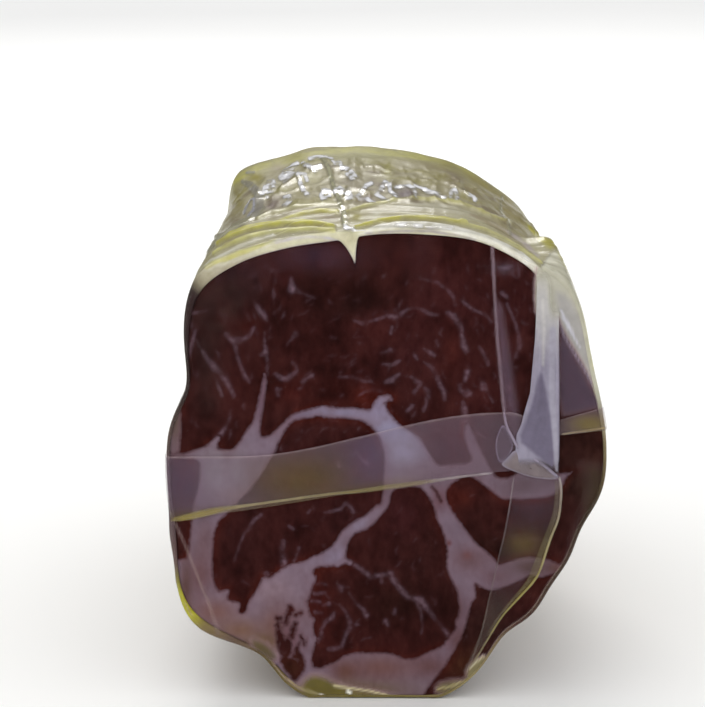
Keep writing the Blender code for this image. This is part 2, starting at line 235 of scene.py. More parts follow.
MIDDLE_MUSCLE = [
    (393, 489.5), (405, 487), (417, 486), (423.3, 489), (430.9, 500), (435.2, 509.7), (437, 519), (442.6, 529.9),
    (445.8, 540.7), (447.4, 549.4), (446.4, 562.4), (448, 572.2), (452.3, 580.9), (456.7, 588.5), (458.8, 599.3),
    (459.9, 610.2), (457.7, 619), (455, 622.4), (456.4, 628), (448, 639.3), (441, 647.7), (428.3, 651.9),
    (418.5, 657.5), (408.7, 659.6), (400, 657.5), (393, 654), (383.4, 652.6), (369.4, 653.3), (355.4, 652.6),
    (344, 656), (338.5, 660.3), (330, 664.5), (320.3, 668.7), (312.6, 666), (312, 656), (314, 646), (315.5, 639),
    (313.4, 631.6), (314.5, 621), (311.3, 615.8), (309.2, 607.4), (306, 601), (310.3, 594.7), (311.3, 587.4),
    (317.6, 576.8), (312.4, 573.7), (314.5, 568.4), (320, 566.5), (328.7, 566.8), (337.4, 564.6), (345, 559.2),
    (346, 551.6), (348.2, 542.9), (351.5, 536.4), (355.8, 532), (363.4, 529.9), (372, 525.6), (377.5, 520),
    (380.7, 514.7), (385, 510.4), (389.4, 505), (390.5, 496.3),
]
RIGHT_MUSCLE = [
    (445, 495), (449.5, 507), (455, 515.6), (463.6, 526.4), (470, 536), (476.6, 543.8), (484.2, 550.3),
    (490.7, 555.7), (495, 560), (499, 566), (506, 562.5), (517, 559), (527, 557), (540, 558), (552, 561),
    (561, 565), (567, 573), (600, 590), (640, 520), (640, 455), (580, 464), (566, 476), (561, 488), (550, 497),
    (535, 498.5),
    (520, 499), (510.3, 498.7), (503.8, 499.3), (495, 493.9), (484.2, 485.2), (476.6, 478.7), (464.7, 475.4),
    (455, 480.8), (447, 488),
]
LOW_MUSCLE = [
    (473.4, 581.7), (481, 587), (489.7, 590.4), (499.4, 588.2), (510.3, 585), (523.3, 578.5), (531, 574),
    (538.5, 578), (549, 575), (560, 570), (575, 566), (600, 600), (520, 700), (420, 705), (425.5, 691),
    (432.5, 681.3), (441, 671.5), (449.3, 658.9), (456.4, 646.3), (463.4, 632.3), (467.6, 616.8),
    (470.4, 604), (473, 600), (476.2, 597),
]
EDGE_MUSCLE = [
    (150, 456), (192, 457.5), (199, 461), (200.5, 470), (198, 488), (194, 500), (192, 515), (190.5, 532),
    (189.5, 545), (188, 556), (184, 560), (150, 560),
]
MUSCLES = [UPPER_MUSCLE, LEFT_MUSCLE, MIDDLE_MUSCLE, RIGHT_MUSCLE, LOW_MUSCLE, EDGE_MUSCLE]
# Shreds of muscle inside the fat, as points of the photograph with the shred's width, in pixels.
SHREDS = [
    [(290, 607, 3), (291, 610, 5), (287.5, 615, 5), (284.5, 623, 4)],
    [(277, 618, 2.5), (281, 618, 2)],
    [(296, 615, 2), (301, 612.5, 3)],
    [(278, 625, 4), (279.5, 633, 7), (281.5, 641, 8), (284, 649, 9), (286, 654, 7)],
    [(296, 624, 3), (293.5, 629, 5), (291.5, 635, 4)],
    [(287, 640, 4), (288.5, 646, 6), (288, 651, 6)],
    [(301, 636, 2), (304, 641, 4), (304, 645, 2.5)],
    [(298.5, 644, 2.5), (297, 650, 5), (297, 656, 8)],
    [(285, 661, 9), (291, 666, 15), (296, 671, 13), (295, 676, 8)],
    [(300, 656, 5), (301, 663, 7), (300, 670, 7)],
    [(432, 487, 1.6), (437, 493, 2.4), (441, 501, 2)],
]


def smooth(value):
    value = np.clip(value, 0.0, 1.0)
    return value * value * (3.0 - 2.0 * value)


def hill(value, centre, width):
    return np.exp(-(((value - centre) / width) ** 2))


def linear(colour):
    """A colour given as 0 to 255 on screen, as the shader's light."""
    value = np.asarray(colour, float) / 255.0
    return np.where(value <= 0.04045, value / 12.92, ((value + 0.055) / 1.055) ** 2.4)


LATTICE = np.random.default_rng(11).random((32, 32, 32))


def noise(points, size, shift=0.0):
    """Smooth values from -1 to 1 that change over about size millimetres."""
    spot = points / size + shift + 400.0
    cell = np.floor(spot).astype(int)
    share = spot - cell
    share = share * share * (3.0 - 2.0 * share)
    value = 0.0
    for dx in (0, 1):
        for dy in (0, 1):
            for dz in (0, 1):
                weight = 1.0
                for axis, step in enumerate((dx, dy, dz)):
                    weight = weight * (share[..., axis] if step else 1.0 - share[..., axis])
                corner = (cell + np.array([dx, dy, dz])) % 32
                value = value + weight * LATTICE[corner[..., 0], corner[..., 1], corner[..., 2]]
    return 2.0 * value - 1.0


def drawn_out(points, stretch, size, shift):
    """Noise whose lumps are longer along each axis where stretch is under 1."""
    return noise(points * np.array(stretch), size, shift)


def radius(angle):
    cos_part = np.abs(np.cos(np.radians(angle))) / HALF_WIDTH
    sin_part = np.abs(np.sin(np.radians(angle))) / HALF_HEIGHT
    value = (cos_part ** ROUNDNESS + sin_part ** ROUNDNESS) ** (-1.0 / ROUNDNESS)
    for centre, height, width in SWELLINGS:
        away = (angle - centre + 180.0) % 360.0 - 180.0
        value = value + height * np.exp(-((away / width) ** 2))
    return value


def top_share(angle, y):
    """1 on the top, where the casing is thick and ridged, and 0 on the sides, bottom and far end."""
    across = smooth((angle - 8.0) / 30.0) * smooth((160.0 - angle) / 26.0)
    return across * (1.0 - np.clip((y - 92.0) / (DOME_START - 92.0), 0.0, 1.0))


def notch_share(angle):
    """How far the crease reaches at this angle, from 0 beside it to 1 in its middle."""
    away = angle - NOTCH_ANGLE
    return np.clip(1.0 - np.where(away > 0.0, away / NOTCH_LEFT, -away / NOTCH_RIGHT), 0.0, 1.0) ** 1.7


def notch_depth(y):
    return NOTCH_DEPTH * np.clip(1.0 - y / NOTCH_REACH, 0.0, 1.0)


def crest(angle, y):
    """1 on the crest of a ridge or lump of the slack casing and 0 in the valleys."""
    sway = 0.9 * np.sin(np.radians(angle) * 3.0 + 0.6)
    value = 0.0
    for spot, width in RIDGES:
        value = np.maximum(value, np.exp(-(((y - spot - sway * spot / 27.0) / width) ** 2)))
    lumps = 0.5 + 0.3 * np.sin(y * 0.19 + angle * 0.11) + 0.2 * np.sin(y * 0.07 - angle * 0.23)
    far = smooth((y - 29.0) / 8.0)
    return value * (1.0 - far) + lumps * far


def thin_lines(angle, y):
    """Heights of the thin raised lines that run round the slack casing behind the cut."""
    value = 0.0
    for spot, width, height, sway, phase in LINES:
        line = spot + sway * np.sin(np.radians(angle) * 4.0 + phase) + 0.3 * sway * np.sin(
            np.radians(angle) * 11.0 + 2.0 * phase)
        fade = 0.55 + 0.45 * np.sin(np.radians(angle) * 3.0 + phase * 2.3)
        value = np.maximum(value, height * fade * np.exp(-(((y - line) / width) ** 2)))
    return value


def seam(angle, y):
    """Height of the fold that runs along the top from the crease."""
    side = np.clip(1.0 - np.abs(angle - NOTCH_ANGLE) / 2.2, 0.0, 1.0)
    return SEAM * side * smooth((y - 3.0) / 6.0) * smooth((100.0 - y) / 20.0)


def crinkle(points, angle, y):
    """Creases of the wet film and casing in the middle of the top, in millimetres of relief."""
    wet = top_share(angle, y) * smooth((y - 31.0) / 6.0) * smooth((92.0 - y) / 14.0)
    bend = 1.8 * np.stack([noise(points, 9.0, shift) for shift in (3.1, 7.7, 1.3)], axis=-1)
    slim = (points + bend) * np.array([1.0, 0.55, 1.0])
    coarse = 1.0 - np.abs(noise(slim, 5.5, 0.4)) * 1.9
    fine = 1.0 - np.abs(noise(slim, 2.6, 5.2)) * 1.9
    value = 0.5 * np.clip(coarse, 0.0, 1.0) ** 2 + 0.26 * np.clip(fine, 0.0, 1.0) ** 2 - 0.3
    return wet * value


def puff(angle, y):
    """How far the slack casing and film stand off the meat at the shoulders and along the top."""
    left = hill(angle, 141.0, 14.0) * (0.6 * smooth((y - 30.0) / 40.0) + smooth((y - 88.0) / 14.0))
    low = 0.8 * hill(angle, 198.0, 6.0) + 1.6 * hill(angle, 223.0, 8.0) + 0.8 * hill(angle, 246.0, 6.0)
    left = left + 1.5 * hill(angle, 133.0, 4.5) * smooth((y - 84.0) / 14.0)
    rise = smooth(y / 25.0)
    fold = (1.0 + 3.1 * rise) * hill(angle, 47.0 + 4.0 * rise, 4.6 - 1.0 * rise) * smooth((37.0 - y) / 12.0)
    right = (fold + 0.3 * hill(angle, 38.0, 9.0) * hill(y, 8.0, 14.0)) * smooth((y + 2.0) / 8.0)
    right = right + 1.5 * hill(angle, 44.0, 20.0) * smooth((y - 20.0) / 50.0)
    top = 1.5 * hill(angle, 95.0, 30.0) * smooth((y - 40.0) / 50.0)
    top = top + 0.8 * hill(angle, 112.0, 6.0) * smooth((y - 80.0) / 20.0)
    return (left + low * hill(y, 0.0, 30.0) + right + top) * smooth((124.0 - y) / 22.0)


def seen(angle, y):
    """1 where the photograph shows the outside of the body and 0 where it is hidden."""
    return smooth((angle - 2.0) / 6.0) * smooth((176.0 - angle) / 6.0) * smooth((106.0 - y) / 3.0)


def relief(points, angle, y, spots):
    """All that raises the casing, and the film on it, above their plain outline."""
    share = top_share(angle, y)
    side = 0.2 * drawn_out(points, (1.0, 0.35, 1.0), 6.0, 2.2) + 0.07 * noise(points, 2.2, 6.1)
    value = share * thin_lines(angle, y) * 0.35 + crinkle(points, angle, y) + side * (1.0 - share)
    shown = seen(angle, y) > 0.01
    lines = np.zeros(shown.sum())
    for _, _, height, chain in CASING_STROKES:
        lines = lines + height * stroke(spots[shown], chain, 2.4)
    for _, _, height, chain in FILM_STROKES:
        lines = np.maximum(lines, 0.4 * height * stroke(spots[shown], chain, 2.4))
    value[shown] += lines * seen(angle, y)[shown]
    return value + 0.05 * noise(points, 1.6, 9.0) * share


def place(x, y, z):
    """World millimetres for a point in front of or behind the middle of the face."""
    x, y, z = np.broadcast_arrays(x, y, z)
    return np.stack([x + FACE_ASIDE, y - MIDDLE_Y, z + FLAT_DEPTH], axis=-1)


def body_point(angle, y, inset, scale=1.0):
    """A point of the body; scale shrinks the section towards the part's axis."""
    reach = radius(angle) - inset
    x = reach * np.cos(np.radians(angle)) * scale
    z = np.maximum(reach * np.sin(np.radians(angle)), -FLAT_DEPTH + inset) * scale
    far = y / TAPER_LENGTH
    lift = np.clip((z + FLAT_DEPTH) / (2.0 * FLAT_DEPTH), 0.0, 1.0)
    z = z + (TOP_DROP - TOP_SLOPE * x) * far * lift
    x = x * (1.0 - NARROWING * far) + SIDE_SHIFT * far
    return place(x, y, z)


def film_outside(angle, y):
    """The film dips between the ridges, but spans them where it is pulled taut at the right shoulder."""
    taut = smooth((54.0 - angle) / 5.0) * smooth((40.0 - y) / 8.0)
    return (1.0 - crest(angle, y)) * RIDGE * top_share(angle, y) * (1.0 - taut) - seam(angle, y)


def casing_outside(angle, y):
    """The film clings here, so that no light shows between it and the casing."""
    return film_outside(angle, y) + CLING


def casing_inside(angle, y):
    fin = notch_depth(y) * notch_share(angle)
    fat = 1.8 * hill(angle, 128.0, 8.0) + 1.2 * hill(angle, 108.0, 12.0) + 1.2 * hill(angle, 51.0, 4.0)
    return CASING_THICK * top_share(angle, y) + FILM + CASING_THIN + fin + fat * smooth((90.0 - y) / 30.0)


def meat_outside(angle, y):
    return casing_inside(angle, y) + GAP * 0.5


def face_spot(px, py, y=FACE_DEPTH):
    """Where the ray of a point of the photograph meets the plane y, from the face's middle."""
    axes = np.array(CAMERA_TURN.to_3x3())
    px, py = np.asarray(px, float), np.asarray(py, float)
    right, up = px - FRAME_WIDTH / 2.0, FRAME_HEIGHT / 2.0 - py
    ray = right[..., None] * axes[:, 0] + up[..., None] * axes[:, 1] - FOCAL * axes[:, 2]
    reach = (y - MIDDLE_Y - EYE[1]) / ray[..., 1]
    spot = EYE + reach[..., None] * ray
    return np.stack([spot[..., 0] - FACE_ASIDE, spot[..., 2] - FLAT_DEPTH], axis=-1)


PIXEL = 1.0 / 4.42


def soften(outline, times=1):
    """Cuts the corners of a closed outline."""
    points = np.asarray(outline, float)
    for _ in range(times):
        ahead = np.roll(points, -1, axis=0)
        points = np.stack([points * 0.75 + ahead * 0.25, points * 0.25 + ahead * 0.75], axis=1).reshape(-1, 2)
    return points


def edge_distance(points, start, end):
    """Distance of points to a straight edge, and how far along it the nearest place lies."""
    along = end - start
    share = np.clip(((points - start) @ along) / max(along @ along, 1e-9), 0.0, 1.0)
    away = points - start - share[:, None] * along
    return np.sqrt((away ** 2).sum(1)), share


def pixels(points):
    """Where world millimetres lie in the photograph."""
    axes = np.array(CAMERA_TURN.to_3x3())
    away = np.asarray(points) - EYE
    reach = FOCAL / -(away @ axes[:, 2])
    across = FRAME_WIDTH / 2.0 + away @ axes[:, 0] * reach
    return np.stack([across, FRAME_HEIGHT / 2.0 - away @ axes[:, 1] * reach], axis=-1)


def outline_distance(points, outline):
    """Distance to a closed outline, all in the photograph's pixels: negative inside it."""
    corners = soften(outline)
    nearest = np.full(len(points), 1e9)
    inside = np.zeros(len(points), bool)
    for start, end in zip(corners, np.roll(corners, -1, axis=0)):
        nearest = np.minimum(nearest, edge_distance(points, start, end)[0])
        crosses = (start[1] > points[:, 1]) != (end[1] > points[:, 1])
        rise = end[1] - start[1] if abs(end[1] - start[1]) > 1e-9 else 1e-9
        where = start[0] + (points[:, 1] - start[1]) * (end[0] - start[0]) / rise
        inside ^= crosses & (points[:, 0] < where)
    return np.where(inside, -nearest, nearest)


def chain_distance(points, chain):
    """Distance to the edge of a line of changing width, all in pixels: negative inside it."""
    chain = np.asarray(chain, float)
    nearest = np.full(len(points), 1e9)
    for (*start, first), (*end, last) in zip(chain[:-1], chain[1:]):
        away, share = edge_distance(points, np.array(start), np.array(end))
        nearest = np.minimum(nearest, away - (first + share * (last - first)) / 2.0)
    return nearest


def streak(points, chain):
    """A soft line of changing width: strong where it is wide and faint where it is thin."""
    chain = np.asarray(chain, float)
    value = np.zeros(len(points))
    for (*start, first), (*end, last) in zip(chain[:-1], chain[1:]):
        away, share = edge_distance(points, np.array(start), np.array(end))
        width = first + share * (last - first)
        strength = np.clip(0.1 + width * 0.115, 0.0, 0.85)
        value = np.maximum(value, strength * np.exp(-((away / (width * 0.42 + 0.75)) ** 2)))
    return value


def stroke(points, chain, soft=1.2, spread=0.0):
    """1 on a line of changing width and 0 off it, with a soft edge."""
    return smooth(0.5 + (spread - chain_distance(points, chain)) / soft)


def blend_max(first, second, reach):
    """The larger of two values, with a rounded join."""
    share = np.clip(0.5 + 0.5 * (first - second) / reach, 0.0, 1.0)
    return second + (first - second) * share + reach * share * (1.0 - share)


def fat_depth(points):
    """How deep a point of the cut lies in fat, in millimetres: negative in muscle."""
    muscle = np.full(len(points), 1e9)
    for outline in MUSCLES:
        muscle = np.minimum(muscle, outline_distance(points, outline))
    for chain in SHREDS:
        muscle = np.minimum(muscle, chain_distance(points, chain))
    seams = np.full(len(points), 1e9)
    for chain in SOLID_SEAMS:
        seams = np.minimum(seams, chain_distance(points, chain))
    return blend_max(muscle, -seams, 2.4) * PIXEL


# How many wisps of fat there are, how many of them lie in the upper muscle, and their lean in degrees
# by their place across the photograph in pixels.
WISPS = 380
UPPER_WISPS = 270
WISP_LEANS = [(180.0, 70.0), (260.0, 85.0), (330.0, 165.0), (400.0, 130.0), (470.0, 70.0), (540.0, 80.0)]


def marbling(points):
    """Thin seams and wisps of fat inside the muscles, from 0 to 1."""
    value = np.zeros(len(points))
    for chain in SEAMS:
        value = np.maximum(value, streak(points, chain))
    dice = np.random.default_rng(5)
    for number in range(WISPS):
        upper = number < UPPER_WISPS
        x = dice.uniform(178.0, 560.0)
        y = dice.uniform(262.0, 470.0) if upper else dice.uniform(490.0, 690.0)
        lean = np.interp(x, *zip(*WISP_LEANS))
        lean = math.radians(lean + dice.normal(0.0, 18.0 if upper else 60.0))
        length, width = dice.uniform(2.0, 12.0), dice.uniform(0.6, 2.6 if upper else 1.8)
        near = (np.abs(points[:, 0] - x) < 18.0) & (np.abs(points[:, 1] - y) < 18.0)
        turned = lean + dice.normal(0.0, 0.5)
        half = 0.5 * length
        middle = (x + half * math.cos(lean), y + half * math.sin(lean), width)
        end = (middle[0] + half * math.cos(turned), middle[1] + half * math.sin(turned), 0.3)
        wisp = streak(points[near], [(x, y, width * 0.5), middle, end]) * dice.uniform(0.2, 0.75)
        value[near] = np.maximum(value[near], wisp)
    return value


def disc_grid(count):
    """Angles and shares of the reach for a square grid that fills a disc evenly."""
    steps = np.linspace(-1.0, 1.0, count + 1)
    u, v = np.meshgrid(steps, steps)
    share = np.maximum(np.abs(u), np.abs(v))
    level = np.abs(u) >= np.abs(v)
    safe_u = np.where(u == 0.0, 1e-9, u)
    safe_v = np.where(v == 0.0, 1e-9, v)
    by_side = np.where(u >= 0.0, 0.0, 180.0) + 45.0 * v / safe_u
    by_top = np.where(v >= 0.0, 90.0, 270.0) - 45.0 * u / safe_v
    return np.where(level, by_side, by_top) % 360.0, share


def disc_faces(count):
    return sheet_faces(count + 1, count + 1)


def disc_rim(count):
    """The grid's outer points in the order of their angle, from angle 0 on."""
    index = np.arange((count + 1) ** 2).reshape(count + 1, count + 1)
    rim = np.concatenate([index[:-1, -1], index[-1, :0:-1], index[:0:-1, 0], index[0, :-1]])
    return np.roll(rim, -(count // 2))


def tube_faces(rows, columns, first=0):
    index = first + np.arange(rows * columns).reshape(rows, columns)
    ahead = np.roll(index, -1, axis=1)
    return np.stack([index[:-1], index[1:], ahead[1:], ahead[:-1]], axis=-1).reshape(-1, 4)


def fan_faces(ring, tip):
    """Triangles that close a ring of points to its tip."""
    return np.stack([ring, np.full(len(ring), tip), np.roll(ring, -1)], axis=1).tolist()


def sheet_faces(rows, columns):
    index = np.arange(rows * columns).reshape(rows, columns)
    return np.stack([index[:-1, :-1], index[:-1, 1:], index[1:, 1:], index[1:, :-1]], axis=-1).reshape(-1, 4)


def add_object(name, data):
    made = bpy.data.objects.new(name, data)
    bpy.context.scene.collection.objects.link(made)
    return made


def colour_points(mesh, name, tint):
    colours = np.ones((len(mesh.vertices), 4), np.float32)
    colours[:, :3] = tint
    layer = mesh.color_attributes.new(name=name, type="FLOAT_COLOR", domain="POINT")
    layer.data.foreach_set("color", colours.ravel())


def make(name, points, faces, look, nodes, tint, fields):
    """A piece from points in world millimetres, with its colours and other values on its points."""
    mesh = bpy.data.meshes.new(name)
    flat = points.reshape(-1, 3) * MM
    mesh.from_pydata(flat.tolist(), [], faces if isinstance(faces, list) else faces.tolist())
    mesh.materials.append(look)
    mesh.shade_smooth()
    colour_points(mesh, "tint", tint)
    for key, values in fields.items():
        layer = mesh.attributes.new(name=key, type="FLOAT", domain="POINT")
        layer.data.foreach_set("value", np.asarray(values, np.float32).ravel())
    mesh.update()
    piece = add_object(name, mesh)
    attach(piece, "root")
    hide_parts(*nodes)
    return piece


# Materials.


def feed(tree, node, values):
    """Fills a node's inputs by their name or number: a socket is linked, anything else is set."""
    for key, value in values.items():
        if isinstance(value, bpy.types.NodeSocket):
            tree.links.new(value, node.inputs[key])
        else:
            node.inputs[key].default_value = value


def add(tree, kind, settings=None, **sockets):
    """Adds a shader node; a socket's name is written with _ for a space."""
    made = tree.nodes.new("ShaderNode" + kind)
    for key, value in (settings or {}).items():
        setattr(made, key, value)
    feed(tree, made, {key.replace("_", " "): value for key, value in sockets.items()})
    return made


def new_look(name):
    look = bpy.data.materials.new(name)
    look.use_nodes = True
    tree = look.node_tree
    tree.nodes.clear()
    output = tree.nodes.new("ShaderNodeOutputMaterial")
    spot = add(tree, "TexCoord").outputs["Object"]
    return look, tree, output, spot


def mix(tree, factor, first, second, blend="MIX"):
    """Blends two colours, whose sockets on the node have the numbers 6 and 7."""
    made = add(tree, "Mix", {"data_type": "RGBA", "blend_type": blend})
    feed(tree, made, {0: factor, 6: first, 7: second})
    return made.outputs[2]


def mix_shaders(tree, share, first, second):
    made = add(tree, "MixShader")
    feed(tree, made, {0: share, 1: first, 2: second})
    return made.outputs[0]


def attribute(tree, name):
    return add(tree, "Attribute", {"attribute_name": name, "attribute_type": "GEOMETRY"})


def scaled(tree, spot, stretch):
    return add(tree, "Mapping", None, Vector=spot, Scale=stretch).outputs[0]


def texture(tree, spot, size, detail=2.0, rough=0.5):
    """Noise whose lumps are about size millimetres wide."""
    made = add(tree, "TexNoise", None, Vector=spot, Scale=1.0 / (size * MM), Detail=detail, Roughness=rough)
    return made.outputs[0]


def span(tree, value, low, high, to_low=0.0, to_high=1.0):
    made = add(tree, "MapRange", {"clamp": True}, Value=value, From_Min=low, From_Max=high, To_Min=to_low,
               To_Max=to_high)
    return made.outputs[0]


def maths(tree, operation, first, second):
    made = add(tree, "Math", {"operation": operation})
    feed(tree, made, {0: first, 1: second})
    return made.outputs[0]


def weighted(tree, first, share, second, other):
    """The sum of two values, each times its weight."""
    return maths(tree, "ADD", maths(tree, "MULTIPLY", first, share), maths(tree, "MULTIPLY", second, other))


def painted(tree, layer, share, low, high):
    """The colour painted on the points, made darker or lighter by a grain."""
    grain = mix(tree, share, (*low, 1.0), (*high, 1.0))
    return mix(tree, 1.0, attribute(tree, layer).outputs["Color"], grain, "MULTIPLY")


def surface(tree, colour, rough, gloss, bump, height, depth, **more):
    """A solid surface whose relief of height is depth metres deep."""
    normal = add(tree, "Bump", None, Strength=bump, Distance=depth, Height=height).outputs[0]
    return add(tree, "BsdfPrincipled", None, Base_Color=colour, Roughness=rough, Normal=normal,
               Specular_IOR_Level=gloss, **more).outputs[0]


def meat_look():
    """Cured muscle with its grain, and fat with soft ragged edges."""
    look, tree, output, spot = new_look("cured meat")
    depth = attribute(tree, "fat").outputs["Fac"]
    ragged = span(tree, texture(tree, spot, 0.8, 3.0, 0.6), 0.3, 0.7, -0.17, 0.17)
    fat_share = span(tree, maths(tree, "ADD", depth, ragged), -0.34, 0.36)
    broken = span(tree, texture(tree, spot, 0.9, 3.0, 0.6), 0.3, 0.65, 0.35, 1.0)
    wisps = maths(tree, "MULTIPLY", attribute(tree, "wisps").outputs["Fac"], broken)
    grain = texture(tree, scaled(tree, spot, (1.3, 1.0, 0.7)), 1.3, 4.0, 0.7)
    meat = painted(tree, "tint", span(tree, grain, 0.32, 0.7), (0.8, 0.74, 0.74), (1.2, 1.2, 1.2))
    fat_grain = texture(tree, scaled(tree, spot, (1.0, 1.0, 0.6)), 1.6, 3.0, 0.55)
    fat = painted(tree, "fat_tint", span(tree, fat_grain, 0.32, 0.7), (0.92, 0.9, 0.9), (1.06, 1.06, 1.07))
    share = maths(tree, "MAXIMUM", fat_share, wisps)
    shader = surface(tree, mix(tree, share, meat, fat), span(tree, share, 0.0, 1.0, 0.5, 0.42), 0.02, 0.35,
                     weighted(tree, grain, 0.6, share, 0.4), 0.0002)
    tree.links.new(shader, output.inputs[0])
    return look


def casing_look():
    """Natural casing over fat: wrinkled, matte where dry and shining where wet."""
    look, tree, output, spot = new_look("natural casing")
    cloud = texture(tree, spot, 3.0, 5.0, 0.62)
    colour = painted(tree, "tint", span(tree, cloud, 0.3, 0.7), (0.86, 0.84, 0.78), (1.12, 1.12, 1.14))
    fine = texture(tree, spot, 0.8, 3.0, 0.6)
    dull = attribute(tree, "dull").outputs["Fac"]
    rough = maths(tree, "ADD", dull, span(tree, fine, 0.3, 0.7, -0.05, 0.05))
    shader = surface(tree, colour, rough, 0.1, 0.4, weighted(tree, cloud, 0.7, fine, 0.3), 0.0003,
                     Coat_Weight=0.12, Coat_Roughness=0.1)
    tree.links.new(shader, output.inputs[0])
    return look


def film_look(name, rough, grain_size, grain_depth):
    """Clear film: see-through where its veil is near 0, milky where it is folded or lit."""
    look, tree, output, spot = new_look(name)
    cloud = texture(tree, spot, grain_size, 3.0, 0.55)
    thickness = span(tree, cloud, 0.3, 0.7, 0.94, 1.06)
    veil = maths(tree, "MULTIPLY", attribute(tree, "veil").outputs["Fac"], thickness)
    colour = painted(tree, "tint", span(tree, cloud, 0.35, 0.65), (0.97, 0.97, 0.97), (1.03, 1.03, 1.03))
    milky = surface(tree, colour, rough, 0.5, 0.3, cloud, grain_depth)
    clear = add(tree, "BsdfTransparent").outputs[0]
    tree.links.new(mix_shaders(tree, veil, clear, milky), output.inputs[0])
    return look


class Coat:
    """Colour and veil on the points of a piece, painted on layer by layer."""

    def __init__(self, count, colour, veil, gain=1.0):
        self.gain = gain
        self.tint = np.tile(linear(colour) * gain, (count, 1))
        self.veil = np.full(count, veil, float)

    def paint(self, weight, colour, veil=None):
        weight = np.clip(weight, 0.0, 1.0)
        self.tint = self.tint * (1.0 - weight[:, None]) + linear(colour) * self.gain * weight[:, None]
        if veil is not None:
            self.veil = self.veil * (1.0 - weight) + veil * weight

    def paint_shown(self, shown, weight, colour, veil=None):
        """Paints the points that shown picks, with a weight for each of them, and gives all the weights."""
        full = np.zeros(len(shown))
        full[shown] = weight
        self.paint(full, colour, veil)
        return full


def spot_weight(points, px, py, wide, high):
    """1 at a point of the photograph and fading round it, all in pixels."""
    return np.exp(-(((points[:, 0] - px) / wide) ** 2 + ((points[:, 1] - py) / high) ** 2))


# The cut meat.

MEAT_GAIN = 1.16
FAT_GAIN = 1.43
TOP_GAIN = 0.72
FACE_COUNT = 276
# Tones of the muscle and of the fat, in pixels: place, half width and height, colour and how strong.
MEAT_TONES = [
    (330, 275, 70, 32, (38, 16, 13), 0.9),
    (285, 322, 46, 34, (42, 17, 15), 0.8),
    (215, 300, 34, 34, (42, 25, 23), 0.8),
    (245, 292, 14, 16, (40, 25, 25), 0.6),
    (248, 324, 18, 12, (60, 23, 19), 0.7),
    (286, 278, 12, 8, (58, 22, 20), 0.6),
    (205, 345, 14, 26, (38, 25, 23), 0.7),
    (205, 395, 16, 26, (36, 20, 18), 0.8),
    (240, 390, 20, 26, (54, 24, 22), 0.6),
    (330, 350, 50, 24, (50, 21, 19), 0.7),
    (325, 390, 60, 14, (54, 20, 16), 0.6),
    (290, 392, 16, 12, (66, 26, 22), 0.6),
    (384, 330, 36, 22, (60, 26, 24), 0.8),
    (410, 362, 36, 40, (56, 26, 26), 0.7),
    (450, 300, 34, 24, (64, 30, 31), 0.8),
    (452, 350, 11, 34, (66, 28, 24), 0.7),
    (480, 300, 13, 40, (46, 19, 18), 0.5),
    (480, 400, 26, 50, (54, 23, 22), 0.6),
    (522, 300, 18, 40, (58, 27, 26), 0.8),
    (410, 262, 60, 14, (54, 22, 20), 0.6),
    (300, 440, 40, 20, (54, 26, 25), 0.7),
    (240, 540, 30, 40, (47, 22, 21), 0.7),
    (300, 530, 44, 24, (45, 19, 18), 0.7),
    (345, 520, 30, 20, (47, 21, 21), 0.7),
    (400, 512, 24, 26, (52, 23, 25), 0.8),
    (420, 560, 30, 30, (43, 21, 20), 0.7),
    (400, 603, 42, 24, (38, 17, 14), 0.9),
    (440, 600, 20, 26, (43, 19, 17), 0.7),
    (318, 606, 13, 36, (68, 24, 18), 0.8),
    (340, 630, 18, 24, (52, 21, 18), 0.7),
    (380, 646, 42, 12, (56, 24, 22), 0.7),
    (290, 668, 14, 12, (50, 26, 17), 0.8),
    (470, 520, 24, 30, (43, 19, 17), 0.8),
    (462, 496, 12, 10, (70, 28, 22), 0.7),
    (500, 545, 24, 20, (36, 21, 17), 0.7),
    (582, 490, 32, 60, (42, 26, 22), 0.9),
    (570, 440, 20, 16, (44, 24, 20), 0.6),
    (555, 590, 30, 22, (62, 30, 26), 0.6),
    (490, 630, 30, 50, (48, 28, 25), 0.7),
    (470, 668, 26, 20, (60, 33, 20), 0.7),
    (368, 398, 13, 9, (90, 34, 24), 0.7),
    (448, 500, 8, 18, (78, 30, 24), 0.6),
    (350, 306, 40, 16, (34, 15, 13), 0.9),
    (330, 340, 50, 14, (42, 17, 15), 0.6),
    (596, 500, 12, 40, (54, 44, 32), 0.7),
]
